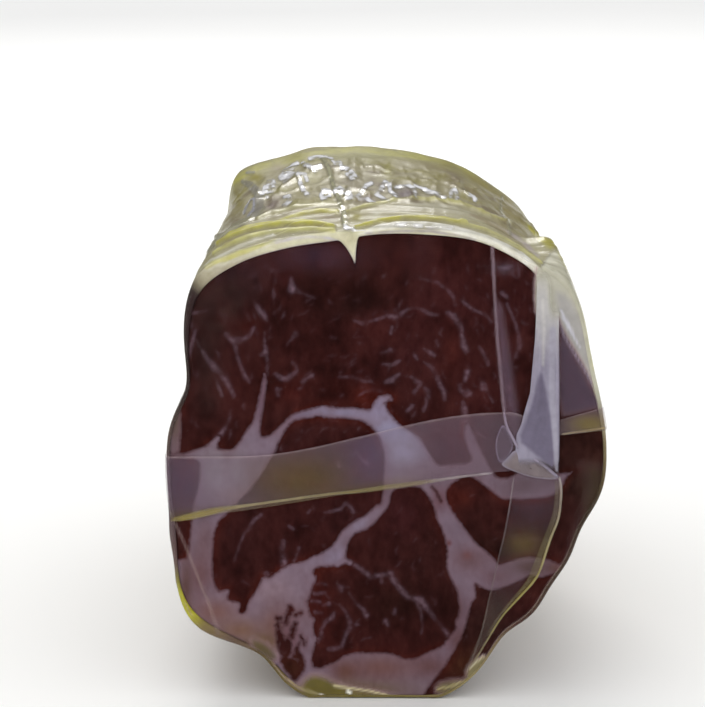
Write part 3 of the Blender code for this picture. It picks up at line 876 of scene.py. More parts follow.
FAT_TONES = [
    (222, 470, 30, 22, (116, 105, 111), 1.0),
    (238, 497, 20, 12, (118, 100, 102), 0.9),
    (262, 402, 9, 26, (94, 75, 88), 0.9),
    (250, 436, 16, 12, (108, 94, 106), 0.8),
    (300, 413, 20, 7, (104, 90, 106), 0.9),
    (340, 411, 30, 8, (116, 107, 126), 1.0),
    (380, 408, 18, 12, (120, 110, 130), 1.0),
    (397, 432, 24, 14, (135, 131, 155), 1.0),
    (406, 452, 20, 16, (134, 129, 150), 1.0),
    (416, 470, 26, 9, (110, 94, 104), 0.9),
    (400, 482, 22, 8, (116, 100, 104), 0.9),
    (385, 500, 14, 10, (100, 84, 96), 1.0),
    (360, 525, 18, 14, (114, 101, 116), 1.0),
    (330, 556, 22, 12, (114, 101, 117), 1.0),
    (300, 567, 24, 12, (112, 96, 108), 1.0),
    (272, 590, 24, 16, (120, 101, 110), 1.0),
    (288, 612, 26, 16, (106, 86, 92), 0.9),
    (272, 628, 12, 20, (100, 74, 70), 0.9),
    (290, 640, 12, 22, (92, 55, 58), 0.6),
    (262, 642, 14, 8, (88, 70, 40), 0.8),
    (205, 540, 11, 28, (97, 77, 83), 1.0),
    (200, 575, 14, 26, (95, 70, 73), 1.0),
    (186, 590, 7, 40, (84, 62, 60), 1.0),
    (215, 612, 24, 14, (105, 77, 74), 1.0),
    (240, 630, 26, 12, (107, 81, 70), 1.0),
    (260, 645, 16, 9, (92, 72, 46), 1.0),
    (440, 500, 10, 14, (88, 62, 70), 0.9),
    (455, 530, 16, 16, (100, 84, 95), 1.0),
    (470, 560, 22, 14, (93, 71, 76), 1.0),
    (495, 577, 16, 10, (94, 72, 79), 1.0),
    (530, 567, 22, 10, (80, 60, 60), 1.0),
    (556, 568, 12, 8, (84, 60, 58), 1.0),
    (460, 610, 12, 22, (90, 70, 77), 1.0),
    (458, 640, 14, 16, (86, 62, 66), 1.0),
    (430, 666, 24, 14, (88, 63, 66), 1.0),
    (380, 668, 36, 14, (101, 72, 69), 1.0),
    (345, 671, 16, 12, (92, 63, 58), 1.0),
    (345, 690, 60, 9, (98, 82, 46), 0.9),
    (520, 486, 30, 12, (90, 73, 80), 1.0),
    (449, 543, 2.6, 2.6, (84, 42, 40), 0.9),
    (467, 555, 5, 4, (96, 62, 62), 0.8),
    (474, 425, 12, 14, (96, 80, 92), 0.8),
    (174, 420, 12, 32, (88, 71, 65), 1.0),
]


def face_disc(count, inset_of):
    """Points that fill the face: angle, share of the reach, the whole reach, and the two coordinates."""
    angle, share = (values.ravel() for values in disc_grid(count))
    inset = inset_of(angle, share)
    reach = radius(angle) - inset
    x = reach * share * np.cos(np.radians(angle))
    z = np.maximum(reach * share * np.sin(np.radians(angle)), -FLAT_DEPTH + inset)
    return angle, share, reach, x, z


def make_meat():
    angle, share, reach, x, z = face_disc(FACE_COUNT, lambda turn, _: meat_outside(turn, FACE_DEPTH))
    solid = place(x, FACE_DEPTH, z)
    spots = pixels(solid)
    fat = fat_depth(spots) + 0.1 * noise(solid, 2.4, 3.0)
    frayed = ((318, 612, 12, 34), (236, 602, 18, 14), (288, 640, 30, 34))
    ragged = sum(spot_weight(spots, *spot) for spot in frayed)
    fat = fat + 0.4 * ragged * drawn_out(solid, (1.0, 1.0, 0.6), 0.9, 6.0) * smooth((fat + 1.6) / 1.2)
    shreds = spot_weight(spots, 289, 636, 16, 34)
    fat = fat * (1.0 - 0.45 * shreds) - 0.16 * shreds
    wisps = marbling(spots) * np.clip(0.85 + 0.75 * noise(solid, 1.5, 7.0), 0.15, 1.0)
    rim_distance = (1.0 - share) * reach
    droop = 0.45 * np.clip(1.0 - rim_distance / 0.9, 0.0, 1.0) ** 2
    lift = 0.10 * smooth((fat + 0.4) / 1.0) + 0.10 * noise(solid, 9.0) + 0.03 * noise(solid, 1.7, 4.0)
    face = place(x, FACE_DEPTH + droop - lift * smooth(rim_distance / 1.5), z)

    tint = Coat(len(x), (50, 22, 20), 0.0, MEAT_GAIN)
    for px, py, wide, high, colour, strength in MEAT_TONES:
        weight = spot_weight(spots, px, py, wide, high) * strength
        tint.paint(weight * np.clip(0.9 + 0.5 * noise(solid, 6.0, px * 0.1), 0.0, 1.2), colour)
    near = hill(fat, -0.5, 1.0) * np.clip(0.3 + 0.7 * noise(solid, 8.0, 2.0), 0.0, 1.0)
    tint.paint(near * 0.6, (72, 27, 20))
    cloud = 0.24 * noise(solid, 5.0, 8.0) + 0.2 * noise(solid, 2.2, 3.0)
    fibre = drawn_out(solid, (1.0, 1.0, 0.4), 1.2, 2.7) + 0.6 * drawn_out(solid, (1.0, 1.0, 0.5), 0.6, 9.1)
    tint.tint *= (1.0 + cloud + 0.17 * fibre)[:, None] ** np.array([1.0, 1.2, 1.25])
    edge_dark = smooth((1.6 - rim_distance) / 1.6) * smooth((np.abs(angle - 95.0) - 70.0) / 20.0)
    tint.paint(edge_dark * 0.5, (48, 28, 24))

    fat_tint = Coat(len(x), (110, 94, 106), 0.0, FAT_GAIN)
    for px, py, wide, high, colour, strength in FAT_TONES:
        fat_tint.paint(spot_weight(spots, px, py, wide, high) * strength, colour)
    bleed = np.clip(drawn_out(solid, (1.0, 1.0, 0.5), 3.0, 3.0), 0.0, 1.0)
    bleed = bleed + 0.6 * np.clip(noise(solid, 1.3, 1.0), 0.0, 1.0)
    fat_tint.paint(0.35 * bleed, (94, 68, 72))
    fat_tint.paint(0.4 * smooth((0.9 - fat) / 0.9), (88, 60, 64))
    inside = smooth((-0.1 - fat) / 0.5)
    fat_tint.paint(inside * 0.8, (116, 94, 106))
    wisps = wisps * inside

    rim = disc_rim(FACE_COUNT)
    rows = [1.6, 4.0, 10.0, 30.0, 60.0, 92.0, DOME_START]
    wall = [body_point(angle[rim], y, meat_outside(angle[rim], y)) for y in rows]
    depth = DOME_END - DOME_START - FILM - 2.0 * GAP - CASING_THIN
    for step in (24.0, 46.0, 64.0, 78.0, 86.0):
        y = DOME_START + depth * math.sin(math.radians(step)) ** (2.0 / DOME_ROUNDNESS)
        scale = math.cos(math.radians(step)) ** (2.0 / DOME_ROUNDNESS)
        wall.append(body_point(angle[rim], y, meat_outside(angle[rim], y), scale))
    wall = np.array(wall)
    count = len(rim)
    tail = wall[-1].mean(axis=0)
    points = np.concatenate([face, wall.reshape(-1, 3), tail[None]])
    first = len(face)
    ring = first + np.arange(count)
    start = np.stack([rim, ring, np.roll(ring, -1), np.roll(rim, -1)], axis=1)
    faces = disc_faces(FACE_COUNT).tolist() + start.tolist() + tube_faces(len(wall), count, first).tolist()
    faces += fan_faces(ring + (len(wall) - 1) * count, len(points) - 1)
    hidden = len(points) - first
    tints = np.concatenate([tint.tint, np.tile(linear((60, 26, 22)), (hidden, 1))])
    fields = {
        "fat": np.concatenate([fat, np.full(hidden, -2.0)]),
        "wisps": np.concatenate([wisps, np.zeros(hidden)]),
    }
    piece = make("cured_meat", points, faces, meat_look(), ["meat"], tints, fields)
    fat_tints = np.concatenate([fat_tint.tint, np.tile(linear((120, 104, 112)), (hidden, 1))])
    colour_points(piece.data, "fat_tint", fat_tints)


# The casing.

# Angles round the body, close together over the top, and places along it, close together behind the cut.
RING = np.concatenate([
    np.linspace(0.0, 180.0, 470, endpoint=False),
    np.linspace(180.0, 360.0, 170, endpoint=False),
])
BODY_ROWS = np.concatenate([
    np.linspace(1.3, 34.0, 68),
    np.linspace(35.0, 96.0, 46),
    np.linspace(98.5, 106.0, 4),
])
DOME_STEPS = np.array([12.0, 22.0, 32.0, 41.0, 50.0, 58.0, 66.0, 73.0, 79.0, 84.0, 87.5])
# Folds of the slack casing over the top, and painted shade and highlights: colour, how strong, height in
# millimetres, and the line in pixels.
CASING_STROKES = [
    ((182, 178, 80), 0.75, 0.0,
     [(233, 182, 6), (246, 173, 6), (262, 166, 6), (300, 156.5, 6), (330, 151, 6), (355, 149.5, 6), (400, 154, 6),
      (440, 159.5, 6), (457, 164, 5), (487, 186, 2)]),
    ((204, 200, 158), 0.85, 0.45,
     [(258, 218, 3), (270, 212, 3.4), (292, 208, 3.4), (310, 205, 3.4), (328, 202.6, 3.4), (341, 204, 2)]),
    ((192, 186, 90), 0.9, 0.45,
     [(280, 221, 2), (292, 217, 3.4), (304, 213.4, 4.4), (320, 211, 4.4), (337, 212, 4.4)]),
    ((198, 193, 76), 0.95, 0.7,
     [(218, 244.5, 3), (232, 235, 5), (246, 229.4, 5), (264, 226, 5), (284, 224, 5), (304, 223, 5),
      (320, 224.6, 4.4), (334, 227, 3)]),
    ((206, 202, 124), 0.9, 0.55,
     [(214, 254, 3), (228, 245, 4), (244, 239, 4.4), (264, 234.4, 4.4), (288, 230.6, 4.4), (312, 229.4, 4.4),
      (334, 231, 3)]),
    ((192, 188, 112), 0.8, 0.2,
     [(206, 268, 3), (216, 262, 4), (228, 258, 5), (240, 253, 5), (260, 246.4, 4), (276, 240.6, 3)]),
    ((206, 203, 186), 0.8, 0.2,
     [(205, 271, 2), (216, 266, 2.4), (234, 261, 2.4), (252, 253.6, 2.4), (266, 246.4, 2.4), (280, 240, 2)]),
    ((222, 220, 206), 0.9, 0.3,
     [(206, 266, 2), (212, 260.5, 3), (224, 254.6, 3.4), (240, 246.4, 3.4), (256, 240.4, 3), (274, 236, 2)]),
    ((188, 182, 192), 0.75, 0.1,
     [(276, 243, 2), (292, 238.6, 3), (308, 236.8, 3), (328, 238, 3), (338, 241, 2)]),
    # The next four are painted shade in the hollows between the folds.
    ((150, 136, 90), 0.6, -0.25,
     [(222, 248, 2), (236, 239.5, 2.4), (252, 233.6, 2.4), (272, 229.6, 2), (300, 226.8, 2), (325, 227.6, 2)]),
    ((150, 136, 104), 0.55, -0.2, [(266, 219, 2), (280, 216, 2.4), (294, 212, 2.4), (306, 208.6, 2)]),
    ((158, 146, 104), 0.5, -0.15, [(214, 258, 1.6), (230, 250, 2), (248, 243, 2), (264, 238.6, 1.6)]),
    ((176, 171, 150), 0.6, -0.1, [(372, 213, 5), (400, 208, 8), (430, 207, 9), (455, 210, 8), (475, 216, 6)]),
    ((150, 137, 106), 0.75, -0.3,
     [(470, 214, 2.5), (484, 220, 5), (498, 227, 7), (512, 236, 8), (522, 243.6, 8), (532, 252, 5)]),
    ((186, 178, 160), 0.7, 0.15, [(490, 222, 1.6), (506, 231, 2), (520, 241, 2.4), (532, 252, 2)]),
    # Painted shadow above the rim's pale band on the right.
    ((170, 160, 164), 0.6, -0.1, [(508, 232, 3), (518, 238.5, 4), (528, 246, 4), (538, 256, 3)]),
    ((204, 199, 124), 0.85, 0.45,
     [(346, 212, 2), (365, 206, 3), (390, 201, 3), (417.5, 198, 3), (450, 201, 3.4), (470, 206, 3.4),
      (490, 215, 3.4), (510, 222.5, 3)]),
    ((198, 192, 82), 0.95, 0.6,
     [(355, 228, 2.4), (380, 221, 3.4), (405, 218, 3.6), (425, 218, 3.6), (445, 220, 3.6), (465, 224, 3.2)]),
    ((206, 202, 132), 0.85, 0.5,
     [(460, 223, 3), (485, 230.4, 3.2), (505, 240, 3.2), (525, 252, 3.2), (541, 264, 3)]),
    # Painted shadow above the rim's pale band.
    ((160, 150, 110), 0.5, -0.15,
     [(372, 225.6, 1.4), (400, 221.6, 1.6), (430, 221.8, 1.6), (465, 228.4, 1.6), (490, 236, 1.6),
      (520, 251, 1.6)]),
    # The rim's pale band beside the cut: the casing's pale edge with a painted highlight on it.
    ((222, 220, 210), 0.95, 0.45,
     [(360, 234, 3), (380, 227.6, 5), (400, 225.4, 6), (425, 225.4, 6.6), (450, 229, 6.6), (470, 234, 6.6),
      (487, 239.4, 7), (505, 247.4, 7.4), (520, 256.4, 7), (535, 268, 6)]),
    # Painted shadow along the meat under the rim's pale band.
    ((152, 142, 150), 0.7, 0.0,
     [(366, 233.6, 2), (400, 231, 3), (430, 231, 3), (460, 236, 2.4), (476, 240, 1.6)]),
    ((192, 186, 68), 0.8, 0.0, [(526, 222, 1), (532, 230, 2.4), (541, 239, 5), (552, 243, 6)]),
]
# Stains of the casing, in pixels of the photograph: place, half width and height, colour, how strong.
CASING_STAINS = [
    (256, 177, 6, 4, (160, 150, 52), 0.9),
    (237, 199, 5, 7, (146, 136, 44), 0.95),
    (388, 168, 5, 9, (166, 160, 70), 0.8),
    (357, 217, 6, 4, (168, 160, 72), 0.8),
    (273, 204, 9, 6, (122, 102, 98), 0.9),
    (286, 182, 4, 4, (112, 98, 92), 0.85),
    (236, 222, 10, 8, (136, 122, 84), 0.9),
    (222, 236, 7, 8, (150, 138, 100), 0.7),
    (278, 168, 7, 6, (150, 134, 108), 0.6),
    (300, 188, 8, 8, (176, 166, 108), 0.5),
    (312, 178, 9, 8, (186, 180, 132), 0.8),
    (352, 182, 14, 9, (168, 158, 142), 0.6),
    (405, 193, 11, 7, (98, 78, 88), 0.95),
    (382, 186, 5, 6, (122, 102, 96), 0.7),
    (366, 199, 12, 4, (134, 114, 100), 0.7),
    (437, 170, 14, 10, (168, 158, 112), 0.6),
    (456, 180, 9, 8, (138, 122, 88), 0.8),
    (450, 162, 12, 6, (156, 146, 72), 0.8),
    (478, 184, 12, 12, (162, 150, 92), 0.7),
    (508, 212, 9, 12, (164, 151, 98), 0.75),
    (520, 222, 6, 8, (156, 143, 84), 0.6),
    (330, 218, 14, 3, (150, 132, 108), 0.6),
    (355, 156, 40, 6, (184, 180, 138), 0.6),
    (300, 158, 40, 5, (170, 164, 96), 0.6),
]
# Creases of the film over the top, where it is folded, and painted highlights where it shines white: colour, veil,
# height, line in pixels.
# The white of the painted highlights on the crinkled film.
PAINTED_HIGHLIGHT = (300, 300, 306)
FILM_STROKES = [
    ((202, 200, 162), 0.75, 0.7,
     [(322, 157, 3), (329, 169, 4.2), (333, 185, 4.2), (339, 199, 4.2), (343, 211, 4.6), (345, 224, 5)]),
    ((198, 194, 156), 0.5, 0.4, [(502, 197, 2), (500, 209, 2.4), (507, 221, 2.4), (510, 234, 2.4)]),
    ((188, 182, 132), 0.4, 0.3, [(462, 186, 2), (470, 198, 2)]),
    ((196, 192, 160), 0.6, 0.7,
     [(263, 207, 5), (258, 213, 6), (248, 219, 6), (232, 229, 6), (218, 238, 5), (205, 253, 4), (196, 268, 3)]),
    ((188, 186, 180), 0.45, 0.5, [(243, 182, 4), (252, 186, 8), (259, 195, 9), (259, 205, 9), (254, 214, 7)]),
    # The next two are painted highlights on the film's folds at the left.
    ((206, 206, 218), 0.75, 0.3,
     [(244, 214, 2), (246, 207, 2.6), (251, 200, 2.6), (255, 200, 2.4), (253, 209, 2.6), (248, 216, 2.4)]),
    ((200, 200, 196), 0.6, 0.3, [(247, 173, 2.6), (254, 172, 2.4)]),
    (PAINTED_HIGHLIGHT, 0.9, 0.5, [(266, 190, 2.6), (268, 182, 2.8), (273, 180.5, 2.6), (273, 188, 2.8), (267, 196, 3)]),
    (PAINTED_HIGHLIGHT, 0.8, 0.4, [(262, 194, 2.6), (265, 186, 2.2)]),
    (PAINTED_HIGHLIGHT, 0.9, 0.6, [(281, 177, 4.5), (285, 173, 5), (289, 170, 5), (293, 166, 4), (297, 163.5, 3.4)]),
    (PAINTED_HIGHLIGHT, 0.9, 0.4, [(284, 181, 2.2), (289, 176, 2.6), (294, 173, 2.4)]),
    (PAINTED_HIGHLIGHT, 0.95, 0.5, [(303, 163.5, 3), (308, 166, 3.2), (314, 168.5, 3.4), (320, 165.5, 3)]),
    (PAINTED_HIGHLIGHT, 0.9, 0.4, [(310, 158.5, 2.6), (316, 157, 3), (323, 156.5, 2.6)]),
    (PAINTED_HIGHLIGHT, 0.9, 0.5, [(298, 172, 2.8), (299.5, 181, 3), (303, 189.5, 3.4), (307, 193.5, 3)]),
    (PAINTED_HIGHLIGHT, 0.8, 0.3, [(298, 173, 2), (305, 174, 2.4), (307, 180, 2)]),
    (PAINTED_HIGHLIGHT, 0.85, 0.4, [(284, 197, 2.2), (289, 195, 2.6), (290, 200, 2.4), (283, 205, 2.2)]),
    (PAINTED_HIGHLIGHT, 0.9, 0.4, [(320.5, 194, 2.2), (325, 189, 2.4), (330, 191, 2.2), (329, 195.5, 2.2), (322, 197.5, 2.4),
                     (320.5, 194, 2.2)]),
    (PAINTED_HIGHLIGHT, 0.9, 0.4, [(335, 192, 2.2), (339.5, 188, 2.4), (343, 190, 2.2), (340.5, 193.5, 2)]),
    (PAINTED_HIGHLIGHT, 0.9, 0.4, [(345.5, 194, 2.2), (349, 190.5, 2.2), (352, 196, 2.4), (347, 197.5, 2)]),
    (PAINTED_HIGHLIGHT, 0.95, 0.5, [(357, 195.5, 2.2), (363, 191.5, 2.8), (366, 185, 2.6), (371.5, 182, 2.2)]),
    (PAINTED_HIGHLIGHT, 0.85, 0.4, [(359, 198, 2), (368, 199.5, 2.4), (374, 202.5, 2)]),
    (PAINTED_HIGHLIGHT, 0.95, 0.5,
     [(376.5, 194, 2.6), (381, 188.5, 3), (385, 180.5, 2.6), (389.5, 185, 2.6), (390.5, 192, 2.6),
      (396, 195.5, 2.2)]),
    (PAINTED_HIGHLIGHT, 0.9, 0.4, [(377.5, 194, 2), (383, 198, 2.4), (388, 201, 2)]),
    (PAINTED_HIGHLIGHT, 0.9, 0.4, [(395.5, 187, 1.6), (402.5, 185, 1.8), (409, 185, 1.8), (414, 189, 2), (416, 197, 1.8)]),
    (PAINTED_HIGHLIGHT, 0.95, 0.5,
     [(415.5, 185.5, 2.2), (421.5, 187.5, 2.8), (427, 191.5, 3), (433.5, 193.5, 3), (440, 195, 2.8),
      (445, 198, 2)]),
    (PAINTED_HIGHLIGHT, 0.95, 0.5, [(450.5, 197.5, 2.2), (451.5, 191, 2.6), (455, 189, 2.6), (458, 195, 2.6), (457, 199, 2)]),
    (PAINTED_HIGHLIGHT, 0.85, 0.4, [(469.5, 195, 2.2), (473.5, 196, 2.6), (475, 200, 2)]),
    (PAINTED_HIGHLIGHT, 0.85, 0.4, [(335, 163, 2.2), (340, 161.5, 2.4), (342, 168.5, 2)]),
    (PAINTED_HIGHLIGHT, 0.85, 0.4, [(344, 167.5, 2.2), (350, 171, 3), (355.5, 177, 2.6), (351, 178.5, 2), (347, 174, 2)]),
    (PAINTED_HIGHLIGHT, 0.8, 0.3, [(325, 155.5, 2), (330, 157, 2.4), (333, 160.5, 2)]),
    (PAINTED_HIGHLIGHT, 0.85, 0.2, [(345, 227, 2.4), (351, 230, 4), (358, 233, 3.4), (364, 231, 2)]),
    (PAINTED_HIGHLIGHT, 0.5, 0.1, [(390, 226, 0.5), (402, 226, 2.2), (410, 226, 2.4), (422, 227, 0.5)]),
    (PAINTED_HIGHLIGHT, 0.45, 0.1, [(426, 226.5, 0.5), (438, 227.5, 2), (452, 229, 0.5)]),
    (PAINTED_HIGHLIGHT, 0.8, 0.2, [(513, 256, 2.6), (524, 261.5, 4), (533, 267.5, 3)]),
]
# Colours of the casing's rim beside the cut by the angle in degrees.
RIM_TONES = [
    (0, (92, 78, 48)), (8, (118, 106, 78)), (14, (150, 142, 120)), (30, (176, 172, 154)),
    (131, (140, 132, 104)), (136, (42, 27, 27)), (160, (40, 26, 26)), (172, (80, 64, 60)), (180, (76, 60, 66)),
    (192, (80, 64, 70)), (206, (92, 74, 70)), (210, (130, 124, 60)), (213, (158, 154, 50)),
    (218, (158, 154, 50)), (222, (112, 98, 62)), (229, (94, 76, 66)), (240, (90, 76, 42)),
    (252, (110, 98, 56)), (262, (108, 98, 44)), (280, (104, 92, 52)), (292, (140, 128, 88)),
    (299, (118, 102, 76)), (308, (64, 38, 33)), (330, (56, 36, 30)), (350, (52, 38, 28)), (360, (92, 78, 48)),
]
# Zones of the film on the right flank, as outlines of the photograph in pixels: colour, veil and softness.
FLANK_ZONES = [
    ([(537, 277), (543, 263), (553, 250), (566, 251), (575, 264), (590, 290), (596, 320), (602, 360),
      (610, 390), (616, 425), (600, 430), (590, 405), (575, 370), (560, 330), (545, 290)],
     (190, 187, 167), 0.86, 2.5),
    ([(556, 247), (565, 264), (575, 280), (582, 300), (588, 330), (596, 380), (640, 390), (620, 300),
      (590, 262), (562, 238)], (196, 191, 112), 0.85, 4.0),
    ([(529, 224), (540, 233), (553, 237), (560, 242), (557, 248), (549, 251), (537, 241)],
     (176, 170, 46), 0.4, 3.0),
]


def skin_grid(end_inset, folds):
    """Angle, place, scale and fold height of the rings from behind the cut to the dome's middle."""
    depth = DOME_END - DOME_START - end_inset
    steps = np.radians(DOME_STEPS)
    places = np.concatenate([BODY_ROWS, DOME_START + depth * np.sin(steps) ** (2.0 / DOME_ROUNDNESS)])
    scales = np.concatenate([np.ones(len(BODY_ROWS)), np.cos(steps) ** (2.0 / DOME_ROUNDNESS)])
    rises = np.concatenate([np.zeros(len(BODY_ROWS)), folds * smooth((DOME_STEPS - 20.0) / 40.0)])
    angle, along = np.meshgrid(RING, places)
    return angle, along, scales[:, None], rises[:, None]


def body_skin(inset_of, end_inset, folds):
    """Points of the body's outside with their angle, their place and where the photograph shows them."""
    angle, along, scale, rise = skin_grid(end_inset, folds)
    base = inset_of(angle, along) - puff(angle, along)
    plain = body_point(angle, along, base, scale)
    spots = pixels(plain)
    turn = np.radians(angle)
    wave = 0.5 + 0.5 * np.cos(turn * GATHER_FOLDS + 0.5 * np.sin(turn * 3.0))
    inset = base - relief(plain, angle, along, spots) - rise * wave
    return body_point(angle, along, inset, scale), angle, along, spots


def flank_tints(tint, flat, angle, y):
    """The casing where the photograph doesn't show it: thin over dark muscle and streaks of fat."""
    cloud = noise(flat, 18.0, 4.4) + 0.5 * noise(flat, 7.0, 1.1) + 0.3 * noise(flat, 2.6, 8.4)
    tint.paint(smooth(0.5 + 0.6 * cloud) * 0.75, (156, 130, 98))
    tint.paint(smooth(0.35 - 0.7 * cloud) * 0.75, (100, 60, 50))
    fibre = drawn_out(flat, (1.0, 0.25, 1.0), 2.4, 3.9) + 0.6 * drawn_out(flat, (1.0, 0.3, 1.0), 1.1, 7.1)
    tint.paint(np.clip(fibre, 0.0, 1.0) * 0.4, (178, 156, 124))
    tint.paint(np.clip(-fibre, 0.0, 1.0) * 0.45, (90, 54, 44))
    veins = np.clip(1.0 - np.abs(drawn_out(flat, (1.0, 0.5, 1.0), 9.0, 3.9)) * 7.0, 0.0, 1.0)
    tint.paint(veins * 0.4, (182, 162, 132))
    bloom = noise(flat, 3.0, 2.2) + 0.7 * noise(flat, 1.4, 5.5)
    tint.paint(smooth((bloom - 0.1) / 1.1) * 0.4, (192, 182, 154))
    sides = smooth((angle - 134.0) / 5.0) * smooth((206.0 - angle) / 6.0)
    sides = sides + smooth((angle - 306.0) / 6.0) * smooth((356.0 - angle) / 6.0)
    tint.paint(sides * smooth((16.0 - y) / 10.0) * 0.85, (66, 42, 39))


def make_casing():
    skin, angle, along, spots = body_skin(casing_outside, FILM + GAP, 0.5)
    left = smooth((RING - 126.0) / 8.0)
    outer = casing_outside(RING, FACE_DEPTH) * (1.0 - left) + CLING * left - puff(RING, 0.0)
    inner = meat_outside(RING, FACE_DEPTH) + 0.25
    count = len(RING)
    shares = np.array([1.0, 1.0, 0.96, 0.84, 0.66, 0.48, 0.3, 0.14, 0.03])
    depths = (4.0, 1.5, 0.85, 0.55, 0.4, 0.38, 0.42, 0.55, 0.9)
    rim_rows = np.array([body_point(RING, y, outer + (inner - outer) * share) for share, y in zip(shares, depths)])
    points = np.concatenate([rim_rows, skin])
    angle = np.concatenate([np.tile(RING, (len(shares), 1)), angle]).ravel()
    along = np.concatenate([np.zeros((len(shares), count)), along]).ravel()
    rim = np.concatenate([np.repeat(shares, count), np.full(skin.shape[0] * count, -1.0)])
    spots = np.concatenate([pixels(rim_rows), spots]).reshape(-1, 2)
    flat = points.reshape(-1, 3)
    across = smooth((angle - 8.0) / 26.0) * smooth((168.0 - angle) / 22.0)

    tint = Coat(len(flat), (128, 98, 72), 0.0, TOP_GAIN)
    flank_tints(tint, flat, angle, along)
    middle = smooth((along - 31.0) / 4.0) * smooth((97.0 - along) / 10.0)
    far = smooth((along - 84.0) / 12.0)
    cover = np.clip(across * smooth((116.0 - along) / 12.0) * (1.0 + 0.2 * noise(flat, 7.0, 6.0)), 0.0, 1.0)
    cover = cover * (1.0 - 0.95 * smooth((angle - 136.0) / 5.0) * smooth((16.0 - along) / 10.0))
    streaks = drawn_out(flat, (0.5, 1.4, 0.5), 2.6, 4.8) + 0.5 * drawn_out(flat, (0.5, 1.6, 0.5), 1.2, 1.7)
    tint.paint(cover, (184, 178, 142))
    tint.paint(cover * np.clip(streaks, 0.0, 1.0) * 0.6, (196, 192, 164))
    tint.paint(cover * np.clip(-streaks, 0.0, 1.0) * 0.6, (158, 148, 104))
    cloud = noise(flat, 8.0, 2.5) + 0.6 * noise(flat, 3.6, 8.1)
    tint.paint(cover * middle, (176, 168, 132))
    tint.paint(cover * middle * smooth((cloud - 0.2) / 0.4) * 0.6, (130, 112, 92))
    tint.paint(cover * middle * smooth((-cloud - 0.3) / 0.3) * 0.6, (164, 156, 84))
    tint.paint(cover * far * 0.8, (172, 166, 104))
    tint.paint(cover * far * smooth(noise(flat, 9.0, 7.3) * 1.5) * 0.7, (156, 144, 92))
    crown = (smooth((angle - 30.0) / 12.0) * smooth((137.0 - angle) / 9.0))[:, None]
    shade = Coat(len(flat), (206, 203, 174), 0.0, 1.28)
    # The rim turns greyer towards the meat: painted shade along the cut.
    shade.paint(smooth((rim - 0.78) / 0.16) * 0.85, (172, 162, 162))
    shade.paint(smooth((angle - 116.0) / 10.0) * 0.8, (168, 160, 140))
    shade.paint(hill(angle, 50.0, 9.0) * 0.6, (176, 172, 164))
    shade.paint(np.clip(noise(flat, 3.0, 4.0), 0.0, 1.0) * 0.6, (186, 179, 146))
    shown = seen(angle, along) > 0.01
    weight, near = seen(angle, along)[shown], spots[shown]
    mottle = np.clip(0.9 + 0.5 * noise(flat[shown], 1.5, 3.3), 0.2, 1.05)
    tint.gain = TOP_GAIN * 1.2
    for colour, strength, _, chain in CASING_STROKES:
        full = tint.paint_shown(shown, stroke(near, chain, 2.4) * strength * weight * mottle, colour)
        shade.paint(full, colour)
    tint.gain = TOP_GAIN
    for px, py, wide, high, colour, strength in CASING_STAINS:
        patchy = np.clip(1.0 + 0.5 * noise(flat[shown], 2.5, px * 0.1), 0.0, 1.3)
        tint.paint_shown(shown, spot_weight(near, px, py, wide, high) * strength * weight * patchy, colour)
    turns, colours = zip(*RIM_TONES)
    edge = np.stack([np.interp(angle, turns, values) for values in linear(colours).T], axis=-1)
    edge = edge * FAT_GAIN * (1.0 - crown) + shade.tint * crown
    tint.tint = np.where(rim[:, None] >= 0.0, edge, tint.tint)
    dull = 0.52 - 0.1 * cover - 0.1 * cover * middle
    tail = points[-1].mean(axis=0)
    rows = len(points)
    faces = tube_faces(rows, count).tolist() + fan_faces((rows - 1) * count + np.arange(count), rows * count)
    flat = np.concatenate([flat, tail[None]])
    tints = np.concatenate([tint.tint, tint.tint[-1:]])
    fields = {"dull": np.append(dull, 0.5)}
    make("natural_casing", flat, faces, casing_look(), ["casing"], tints, fields)


# The film round the body.


